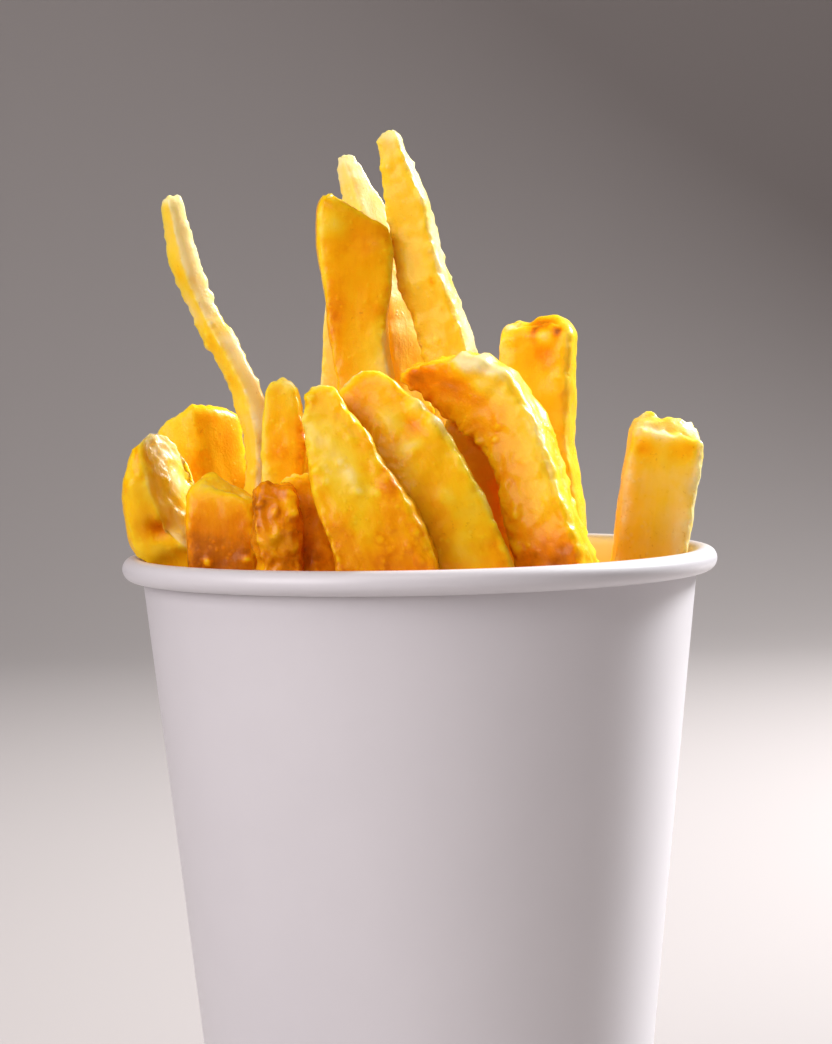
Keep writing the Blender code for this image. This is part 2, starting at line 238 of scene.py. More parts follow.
class Wiring:
    """Adds nodes to a shader tree and links them."""

    def __init__(self, tree: bpy.types.NodeTree) -> None:
        """Start on a tree."""
        self.tree = tree

    def feed(self, node: bpy.types.Node, inputs: dict) -> None:
        """Link or set a node's inputs, named or numbered: a socket is linked, any other value set."""
        for name, value in inputs.items():
            if isinstance(value, bpy.types.NodeSocket):
                self.tree.links.new(value, node.inputs[name])
            else:
                node.inputs[name].default_value = value

    def add(self, kind: str, inputs: dict | None = None, **settings: object) -> bpy.types.Node:
        """Add one node.

        Args:
            kind: The node's type.
            inputs: Input name or index to a value, or to a socket that is linked to it.
            **settings: The node's own properties.

        Returns:
            The new node.
        """
        node = self.tree.nodes.new(kind)
        for name, value in settings.items():
            setattr(node, name, value)
        self.feed(node, inputs or {})
        return node

    def attribute(self, name: str, output: str = "Fac") -> bpy.types.NodeSocket:
        """A mesh attribute, read as a number or a vector."""
        return self.add("ShaderNodeAttribute", attribute_name=name).outputs[output]

    def math(self, operation: str, *values: object, clamp: bool = False) -> bpy.types.NodeSocket:
        """The result of a Math node with these inputs."""
        node = self.add("ShaderNodeMath", dict(enumerate(values)), operation=operation, use_clamp=clamp)
        return node.outputs[0]

    def swing(self, value: bpy.types.NodeSocket, amount: float, base: object,
              clamp: bool = False) -> bpy.types.NodeSocket:
        """The base, moved by an amount times how far a 0 to 1 value lies from its middle."""
        return self.math("MULTIPLY_ADD", self.math("SUBTRACT", value, 0.5), amount, base, clamp=clamp)

    def blend(self, share: object, first: object, second: object) -> bpy.types.NodeSocket:
        """The colour between two colours, at a share from the first to the second."""
        node = self.add("ShaderNodeMix", data_type="RGBA", blend_type="MIX")
        self.feed(node, {0: share, 6: opaque(first), 7: opaque(second)})
        return node.outputs[2]

    def ramp(self, value: bpy.types.NodeSocket, stops: Ramp) -> bpy.types.NodeSocket:
        """The colour that a ramp of (place, colour) stops gives for a value."""
        node = self.add("ShaderNodeValToRGB", {"Fac": value})
        ramp = node.color_ramp
        while len(ramp.elements) < len(stops):
            ramp.elements.new(0.5)
        for element, (place, color) in zip(ramp.elements, stops):
            element.position = place
            element.color = opaque(color)
        return node.outputs["Color"]

    def between(self, value: bpy.types.NodeSocket, low: float, high: float, to_low: float = 0.0,
                to_high: float = 1.0) -> bpy.types.NodeSocket:
        """The value taken smoothly from the range low to high into the range to_low to to_high."""
        inputs = {"Value": value, "From Min": low, "From Max": high, "To Min": to_low, "To Max": to_high}
        return self.add("ShaderNodeMapRange", inputs, interpolation_type="SMOOTHSTEP").outputs["Result"]

    def lumps(self, vector: bpy.types.NodeSocket, size: float, detail: float = 2.0,
              roughness: float = 0.5) -> bpy.types.NodeSocket:
        """Noise, 0 to 1, with lumps of a size in the vector's own units."""
        inputs = {"Vector": vector, "Scale": 1.0 / size, "Detail": detail, "Roughness": roughness}
        return self.add("ShaderNodeTexNoise", inputs).outputs["Fac"]

    def stretched(self, vector: bpy.types.NodeSocket, scale: Triple) -> bpy.types.NodeSocket:
        """The vector scaled by a factor for each axis."""
        node = self.add("ShaderNodeMapping", {"Vector": vector, "Scale": scale}, vector_type="POINT")
        return node.outputs["Vector"]


def new_group(name: str, inputs: dict[str, str],
              outputs: dict[str, str]) -> tuple[Wiring, dict, bpy.types.Node]:
    """Start a shader node group.

    Args:
        name: The group's name.
        inputs: Input name to kind: Float, Vector or Color.
        outputs: Output name to kind.

    Returns:
        Its wiring, its input sockets by name, and its output node.
    """
    tree = bpy.data.node_groups.new(name, "ShaderNodeTree")
    for side, sockets in (("INPUT", inputs), ("OUTPUT", outputs)):
        for label, kind in sockets.items():
            tree.interface.new_socket(name=label, in_out=side, socket_type=f"NodeSocket{kind}")
    wiring = Wiring(tree)
    source = wiring.add("NodeGroupInput")
    return wiring, {label: source.outputs[label] for label in inputs}, wiring.add("NodeGroupOutput")


def new_material(name: str) -> tuple[bpy.types.Material, Wiring, bpy.types.Node]:
    """Start a material.

    Args:
        name: The material's name.

    Returns:
        The material, its wiring and its Principled shader.
    """
    material = bpy.data.materials.new(name)
    material.use_nodes = True
    return material, Wiring(material.node_tree), material.node_tree.nodes["Principled BSDF"]


# ---------------------------------------------------------------- finishes

CRUST_TONES: Ramp = (
    (0.00, (1.00, 0.78, 0.37)),
    (0.16, (1.00, 0.675, 0.14)),
    (0.30, (1.00, 0.64, 0.035)),
    (0.44, (1.00, 0.56, 0.008)),
    (0.58, (0.98, 0.43, 0.003)),
    (0.72, (0.80, 0.25, 0.002)),
    (0.86, (0.42, 0.10, 0.002)),
    (1.00, (0.13, 0.030, 0.004)),
)


SUBSURFACE_RADIUS: Color = (1.0, 0.85, 0.25)
CRUST_READS: dict[str, tuple[str, str]] = {
    "Grain": ("crust_grain", "Vector"),
    "Tone": ("crust_tone", "Fac"),
    "Blister": ("crust_blister", "Fac"),
    "Edge": ("crust_edge", "Fac"),
}


def write_crust(mesh: bpy.types.Mesh, grain: np.ndarray, tone: np.ndarray, blister: np.ndarray,
                edge: np.ndarray) -> None:
    """Store what the fried finishes read: the place in the crust, and three shares, 0 to 1."""
    for label, values in (("Tone", tone), ("Blister", blister), ("Edge", edge), ("Grain", grain)):
        write_attribute(mesh, CRUST_READS[label][0], values)


@dataclass(frozen=True)
class CrustMaps:
    """The fried crust's colour, roughness and relief, as one group for every fried finish."""

    name: str = "crust_maps"
    # Sizes in millimetres, and how far streaks are drawn out along the fry.
    mottle: float = 3.2
    patch: float = 8.0
    pore: float = 0.42
    speck: float = 0.8
    bubble: float = 0.95
    bubble_field: float = 2.6
    streak: float = 0.9
    streak_stretch: float = 0.14
    # How much each adds to the tone.
    patch_tone: float = 0.16
    streak_tone: float = 0.10
    blister_rim_tone: float = 0.42
    blister_top_tone: float = -0.16
    bubble_tone: float = -0.07
    # Along edges: mostly paler, painted light where the mottle is low, and a little browner, the crust's
    # own, where it is high.
    edge_light_and_brown_tones: Row = (-0.13, 0.05)
    edge_mottle: Row = (0.36, 0.70)
    # Bubbles and specks: their outline, and the range of the slower noise where they come up.
    bubble_outline: Row = (0.10, 0.46)
    bubble_places: Row = (0.46, 0.66)
    speck_outline: Row = (0.62, 0.74)
    speck_places: Row = (0.46, 0.60)
    speck_share: float = 0.3
    speck_color: Color = (0.50, 0.16, 0.01)
    # How much each adds to the roughness and to the height.
    pore_roughness: float = 0.30
    patch_roughness: float = 0.35
    pore_height: float = 0.55
    streak_height: float = 0.30
    mottle_height: float = 0.35
    bubble_height: float = 0.38

    def build(self) -> bpy.types.NodeTree:
        """Build the group.

        Returns:
            The group: it takes the crust's attributes and puts out Color, Roughness and Height.
        """
        shares = ("Tone", "Blister", "Edge", "Mottling", "Gloss")
        inputs = {"Grain": "Vector"} | dict.fromkeys(shares, "Float")
        outputs = {"Color": "Color", "Roughness": "Float", "Height": "Float"}
        wires, given, out = new_group(self.name, inputs, outputs)
        grain, blister = given["Grain"], given["Blister"]
        mottle = wires.lumps(grain, self.mottle, detail=4.0, roughness=0.6)
        patch = wires.lumps(grain, self.patch)
        streak = wires.lumps(wires.stretched(grain, (1.0, 1.0, self.streak_stretch)), self.streak)
        pores = wires.lumps(grain, self.pore, detail=3.0, roughness=0.65)
        cells = wires.add("ShaderNodeTexVoronoi", {"Vector": grain, "Scale": 1.0 / self.bubble})
        bubble = wires.between(cells.outputs["Distance"], *self.bubble_outline, 1.0, 0.0)
        bubble_field = wires.between(wires.lumps(grain, self.bubble_field), *self.bubble_places)
        bubble = wires.math("MULTIPLY", bubble, bubble_field)
        tone = wires.swing(mottle, given["Mottling"], given["Tone"])
        tone = wires.swing(patch, self.patch_tone, tone)
        tone = wires.swing(streak, self.streak_tone, tone)
        blister_rim = wires.math("MULTIPLY", blister, wires.math("SUBTRACT", 1.0, blister))
        for share, added in ((blister_rim, self.blister_rim_tone), (blister, self.blister_top_tone),
                             (bubble, self.bubble_tone)):
            tone = wires.math("MULTIPLY_ADD", share, added, tone)
        # Edges: painted light where pale, the crust's own browning where dark.
        edge_tone = wires.between(mottle, *self.edge_mottle, *self.edge_light_and_brown_tones)
        tone = wires.math("MULTIPLY_ADD", given["Edge"], edge_tone, tone, clamp=True)
        speck = wires.between(wires.lumps(grain, self.speck, roughness=0.7), *self.speck_outline)
        speck = wires.math("MULTIPLY", speck, wires.between(patch, *self.speck_places))
        speck = wires.math("MULTIPLY", speck, self.speck_share)
        color = wires.blend(speck, wires.ramp(tone, CRUST_TONES), self.speck_color)
        rough = wires.swing(pores, self.pore_roughness, given["Gloss"])
        rough = wires.swing(patch, self.patch_roughness, rough, clamp=True)
        height = wires.math("MULTIPLY", streak, self.streak_height)
        for relief, added in ((pores, self.pore_height), (mottle, self.mottle_height),
                              (bubble, self.bubble_height)):
            height = wires.math("MULTIPLY_ADD", relief, added, height)
        wires.feed(out, {"Color": color, "Roughness": rough, "Height": height})
        return wires.tree


@dataclass(frozen=True)
class FriedFinish:
    """One fried finish: how mottled, how glossy and how translucent the crust is."""

    name: str
    mottling: float
    roughness: float
    relief: float
    coat: float
    subsurface: float
    subsurface_depth: float
    coat_roughness: float = 0.17
    specular: float = 0.08
    refraction: float = 1.45

    def build(self, maps: bpy.types.NodeTree) -> bpy.types.Material:
        """Build the material.

        Args:
            maps: The crust group.

        Returns:
            The material.
        """
        material, wires, shader = new_material(self.name)
        inputs = {label: wires.attribute(name, output) for label, (name, output) in CRUST_READS.items()}
        inputs |= {"Mottling": self.mottling, "Gloss": self.roughness}
        crust = wires.add("ShaderNodeGroup", inputs, node_tree=maps)
        bump = wires.add("ShaderNodeBump", {"Height": crust.outputs["Height"], "Strength": 1.0,
                                            "Distance": self.relief * MM})
        wires.feed(shader, {
            "Base Color": crust.outputs["Color"],
            "Roughness": crust.outputs["Roughness"],
            "Normal": bump.outputs["Normal"],
            "Subsurface Weight": self.subsurface,
            "Subsurface Radius": SUBSURFACE_RADIUS,
            "Subsurface Scale": self.subsurface_depth * MM,
            "Specular IOR Level": self.specular,
            "Coat Weight": self.coat,
            "Coat Roughness": self.coat_roughness,
            "IOR": self.refraction,
        })
        return material


GOLD = FriedFinish("fried_gold", mottling=0.17, roughness=0.34, relief=0.13, coat=0.15, subsurface=0.6,
                   subsurface_depth=3.0)
CRISP = FriedFinish("fried_crisp", mottling=0.40, roughness=0.26, relief=0.16, coat=0.3, subsurface=0.4,
                    subsurface_depth=3.0)
LOW_GOLD = FriedFinish("fried_low", mottling=0.30, roughness=0.42, relief=0.14, coat=0.0, subsurface=0.5,
                       subsurface_depth=4.0)


@dataclass(frozen=True)
class CupPaper:
    """Smooth white board with a thin satin lining, a yellow tint on the inner face under the rim that is
    painted bounce light from the fries, mottled like a grease stain, and raw cut edges.
    """

    name: str = "cup_paper"
    white: Color = (0.70, 0.675, 0.695)
    # Painted bounce light from the fries on the inner face, mottled like grease.
    grease_and_bounce: Color = (0.80, 0.57, 0.22)
    raw: Color = (0.72, 0.69, 0.64)
    cloud: float = 0.011
    fibre: float = 0.00022
    relief: float = 0.000010
    cloud_range: Row = (0.3, 0.7)
    fibre_range: Row = (0.35, 0.75)
    grease_and_bounce_cloud_range: Row = (0.32, 0.62)
    least_grease_and_bounce: float = 0.55
    fibre_stretch: float = 0.45
    cloud_shade: float = 0.985
    fibre_share: float = 0.05
    roughness: float = 0.46
    fibre_roughness: float = 0.14
    cut_roughness: float = 0.30
    cloud_height: float = 3.0
    bump_strength: float = 0.7
    coat: float = 0.45
    coat_roughness: float = 0.30
    refraction: float = 1.48

    def build(self) -> bpy.types.Material:
        """Build the material.

        Returns:
            The material. It reads Object coordinates and the attributes paper_grease_and_bounce and paper_cut.
        """
        material, wires, shader = new_material(self.name)
        place = wires.add("ShaderNodeTexCoord").outputs["Object"]
        cloud = wires.lumps(place, self.cloud, detail=3.0)
        along = wires.stretched(place, (1.0, 1.0, self.fibre_stretch))
        fibres = wires.lumps(along, self.fibre, detail=3.0, roughness=0.6)
        grease_and_bounce, cut = wires.attribute("paper_grease_and_bounce"), wires.attribute("paper_cut")
        clouded = tuple(self.cloud_shade * part for part in self.white)
        shade = wires.blend(wires.between(cloud, *self.cloud_range), clouded, self.white)
        fibre_share = wires.between(fibres, *self.fibre_range, 0.0, self.fibre_share)
        shade = wires.blend(fibre_share, shade, self.raw)
        # Painted yellow bounce light on the inner face, mottled by the clouds like a grease stain.
        grease_and_bounce_mix = wires.between(cloud, *self.grease_and_bounce_cloud_range, self.least_grease_and_bounce, 1.0)
        grease_and_bounce_mix = wires.math("MULTIPLY", grease_and_bounce, grease_and_bounce_mix)
        shade = wires.blend(grease_and_bounce_mix, shade, self.grease_and_bounce)
        shade = wires.blend(cut, shade, self.raw)
        rough = wires.swing(fibres, self.fibre_roughness, self.roughness)
        rough = wires.math("MULTIPLY_ADD", cut, self.cut_roughness, rough)
        height = wires.math("MULTIPLY_ADD", cloud, self.cloud_height, fibres)
        bump = wires.add("ShaderNodeBump", {"Height": height, "Strength": self.bump_strength,
                                            "Distance": self.relief})
        wires.feed(shader, {
            "Base Color": shade,
            "Roughness": rough,
            "Normal": bump.outputs["Normal"],
            "Coat Weight": self.coat,
            "Coat Roughness": self.coat_roughness,
            "IOR": self.refraction,
        })
        return material


# ---------------------------------------------------------------- cup


@dataclass
class PaperCup:
    """The conical paper cup: wall, hollow rolled rim, side seam, folded foot and base."""

    height: float
    rim_radius: float
    bead_radius: float = 1.75
    board: float = 0.6
    roll_board: float = 0.45
    wall_slope: float = 0.105
    fold_height: float = 7.4
    slot_gap: float = 0.3
    slot_bottom: float = 1.0
    foot_round: float = 0.5
    gap: float = 0.3
    turn_steps: int = 216
    curl_end: float = -128.0
    arc_step: float = 15.0
    wall_rows: int = 26
    fold_rows: int = 3
    seam_angle: float = 118.0
    seam_width: float = 8.0
    seam_rise: float = 0.32
    seam_pull: float = 0.55
    seam_edge: float = 0.75
    seam_fade: float = 0.25
    sway: float = 0.04
    sway_turns: float = 2.2
    sway_height: float = 45.0
    cut_share: float = 0.35
    # Heights where the inner face takes the painted yellow bounce light.
    grease_and_bounce_from: Row = (62.0, 100.0)
    grease_and_bounce_to: Row = (106.5, 109.0)

    @property
    def bead_centre(self) -> Row:
        """Radius and height of the rolled rim's middle."""
        return self.rim_radius - self.bead_radius, self.height - self.bead_radius

    def inner_radius(self, height: np.ndarray | float) -> np.ndarray | float:
        """Radius of the wall's inner face at a height."""
        radius, centre = self.bead_centre
        return radius - self.bead_radius - self.wall_slope * (centre - height)

    def arc(self, radius: float, start: float, end: float) -> list[Row]:
        """Points of an arc about the rolled rim's middle, from one angle to another in degrees."""
        steps = max(2, round(abs(end - start) / self.arc_step))
        turn = [math.radians(start + (end - start) * step / steps) for step in range(steps + 1)]
        centre_r, centre_z = self.bead_centre
        return [(centre_r + radius * math.cos(angle), centre_z + radius * math.sin(angle)) for angle in turn]

    def face(self, offset: float, start: float, end: float, rows: int) -> list[Row]:
        """Points down or up the wall at an offset from its inner face."""
        heights = [start + (end - start) * row / rows for row in range(rows + 1)]
        return [(self.inner_radius(height) + offset, height) for height in heights]

    def profile(self) -> list[Row]:
        """The closed outline of the wall's section.

        Returns:
            Points up the inner face, round the roll and back inside it, down the outer face, and
            round the folded foot with its slot.
        """
        roll_inside = self.bead_radius - self.roll_board
        lean = math.degrees(math.acos((self.bead_radius - self.board) / roll_inside))
        join = self.bead_centre[1] - roll_inside * math.sin(math.radians(lean))
        slot = -self.board - 2.0 * self.slot_gap
        fold = slot - self.board
        points = self.face(0.0, self.slot_bottom, self.bead_centre[1], self.wall_rows)[:-1]
        points += self.arc(self.bead_radius, 180.0, self.curl_end)
        points += self.arc(roll_inside, self.curl_end, 180.0 + lean)[:-1]
        points += self.face(self.board, join, self.foot_round, self.wall_rows)
        points += [(self.inner_radius(0.0) + self.board - self.foot_round, 0.0),
                   (self.inner_radius(0.0) + fold + self.foot_round, 0.0)]
        points += self.face(fold, self.foot_round, self.fold_height, self.fold_rows)
        points += self.face(slot, self.fold_height, self.slot_bottom, self.fold_rows)
        return points

    def build_wall(self) -> bpy.types.Object:
        """Turn the section, then work the seam and the paper's slight waviness into it.

        Returns:
            The wall with its attributes paper_grease_and_bounce and paper_cut, in metres.
        """
        mesh = turned_mesh("cup_wall_paper", self.profile(), self.turn_steps, closed=True)
        places = read_points(mesh)
        height = places[:, 2]
        radius = np.hypot(places[:, 0], places[:, 1])
        outside = smooth_step(radius - self.inner_radius(height), 0.25 * self.board, 0.75 * self.board)
        angle, layer = self.seam(np.degrees(np.arctan2(places[:, 1], places[:, 0])))
        around = np.column_stack((np.cos(np.radians(angle)), np.sin(np.radians(angle))))
        waves = noise_at(np.column_stack((around * self.sway_turns, height / self.sway_height)), 1.0)
        radius = radius + layer * outside * self.seam_rise + self.sway * (waves - 1.0)
        cut = np.where((layer > 0.02) & (layer < 0.98) & (outside > 0.5), 1.0, 0.0)
        # Painted yellow bounce light on the inner face, high up under the rim.
        grease_and_bounce_share = smooth_step(height, *self.grease_and_bounce_from) * (1.0 - smooth_step(height, *self.grease_and_bounce_to))
        write_attribute(mesh, "paper_cut", self.cut_share * cut)
        write_attribute(mesh, "paper_grease_and_bounce", (1.0 - outside) * grease_and_bounce_share)
        write_points(mesh, np.column_stack((around * radius[:, None], height)) * MM)
        return new_object("cup_wall_paper", mesh)

    def seam(self, angle: np.ndarray) -> tuple[np.ndarray, np.ndarray]:
        """Where the board overlaps itself.

        Args:
            angle: Degrees round the cup.

        Returns:
            The angles, drawn together at the seam's edge so that its step is sharp, and how far
            each lies on the outer layer, 0 to 1.
        """
        step = 360.0 / self.turn_steps
        past = (angle - self.seam_angle + 180.0) % 360.0 - 180.0
        width = math.degrees(self.seam_width / self.rim_radius)
        edge = self.seam_edge * step
        layer = smooth_step(past, -edge, edge) * (1.0 - smooth_step(past, self.seam_fade * width, width))
        pull = np.exp(-(past / step) ** 2)
        return angle - self.seam_pull * past * pull, layer

    def press(self, points: np.ndarray) -> np.ndarray:
        """Keep a gap between points and the cup, as the wall and the rim press the fries flat.

        Args:
            points: Points in millimetres, one a row.

        Returns:
            The points, moved inwards from the wall and away from the rolled rim.
        """
        moved = points.copy()
        radius = np.maximum(np.hypot(moved[:, 0], moved[:, 1]), SAME_POINT)
        limit = self.inner_radius(moved[:, 2]) - self.gap
        centre_r, centre_z = self.bead_centre
        low = (moved[:, 2] < centre_z) & (radius > limit)
        moved[low, :2] *= (limit[low] / radius[low])[:, None]
        away_r, away_z = radius - centre_r, moved[:, 2] - centre_z
        away = np.hypot(away_r, away_z)
        keep = self.bead_radius + self.gap
        close = (away_z >= 0.0) & (away < keep)
        share = keep / np.maximum(away, SAME_POINT)
        new_radius = centre_r + away_r * share
        moved[close, :2] *= (new_radius[close] / radius[close])[:, None]
        moved[close, 2] = centre_z + away_z[close] * share[close]
        return moved


# ---------------------------------------------------------------- fries


@dataclass(frozen=True)
class Crust:
    """How one fry is cooked, and how rough its surface is.

    Tones run from 0, cream, over yellow and amber to 1, burnt: low_tone is that at the cup's rim
    and tip_tone that at the tip; the browner tone near the rim is partly the oil-soaked crust and
    partly painted shade inside the cup. burn browns the tip over burn_reach millimetres. The side
    tone is painted light, added on the +width side that is turned toward the back light, and
    end_tone on the cut end is painted light from above over the flesh's paler cut. blisters, lumps,
    grit and crag are shares of the usual relief.
    """

    # Browner toward the rim: partly the oil-soaked crust, partly painted shade inside the cup.
    low_tone: float = 0.44
    tip_tone: float = 0.38
    burn: float = 0.0
    burn_reach: float = 4.0
    # Painted light: a paler tone on the +width side, turned toward the back light.
    lit_side_tone: float = -0.16
    # Painted light on the cut end lit from above, over the flesh's paler cut.
    end_tone: float = -0.22
    blisters: float = 0.35
    lumps: float = 1.0
    grit: float = 1.0
    crag: float = 0.0


@dataclass(frozen=True)
class Mark:
    """A soft patch with a tone of its own, dented or, with a negative depth, swollen. Burns, spots and
    blisters among them are the crust's colour; many pale and dark patches are painted light and painted
    shade, where light falls on a fry or a neighbour shades it.

    at is (across, through, distance below the tip) and reach is how far the patch extends in those
    three directions, all in the fry's own millimetres.
    """

    at: Triple
    reach: Triple
    tone: float = 0.0
    depth: float = 0.0


@dataclass(frozen=True)
class Cut:
    """A flat facet where the knife took a corner off.

    at is a point on it, as for a Mark, and facing is its direction (across, through, up).
    """

    at: Triple
    facing: Triple
    # Painted light: the facet's tone makes it paler where the light falls on it.
    tone: float = 0.0


@dataclass(frozen=True)
class Fry:
    """One fry: its middle line from foot to tip, as (x, y, z, width, depth) stations.

    With no roll, the width lies across X and the depth along Y. roll gives the turn about the
    middle line at the foot and at the tip, in degrees. tip_rise is how much further the tip's
    +width side reaches than its other side, tip_drop how much shorter its front is than its back,
    tip_round the rounding of its end, and square how close its section comes to a sharp rectangle.
    """

    name: str
    batch: Batch
    stations: tuple[Station, ...]
    roll: Row = (0.0, 0.0)
    tip_rise: float = 0.0
    tip_drop: float = 0.0
    tip_round: float = 1.8
    square: float = 5.0
    crust: Crust = Crust()
    marks: tuple[Mark, ...] = ()
    cuts: tuple[Cut, ...] = ()


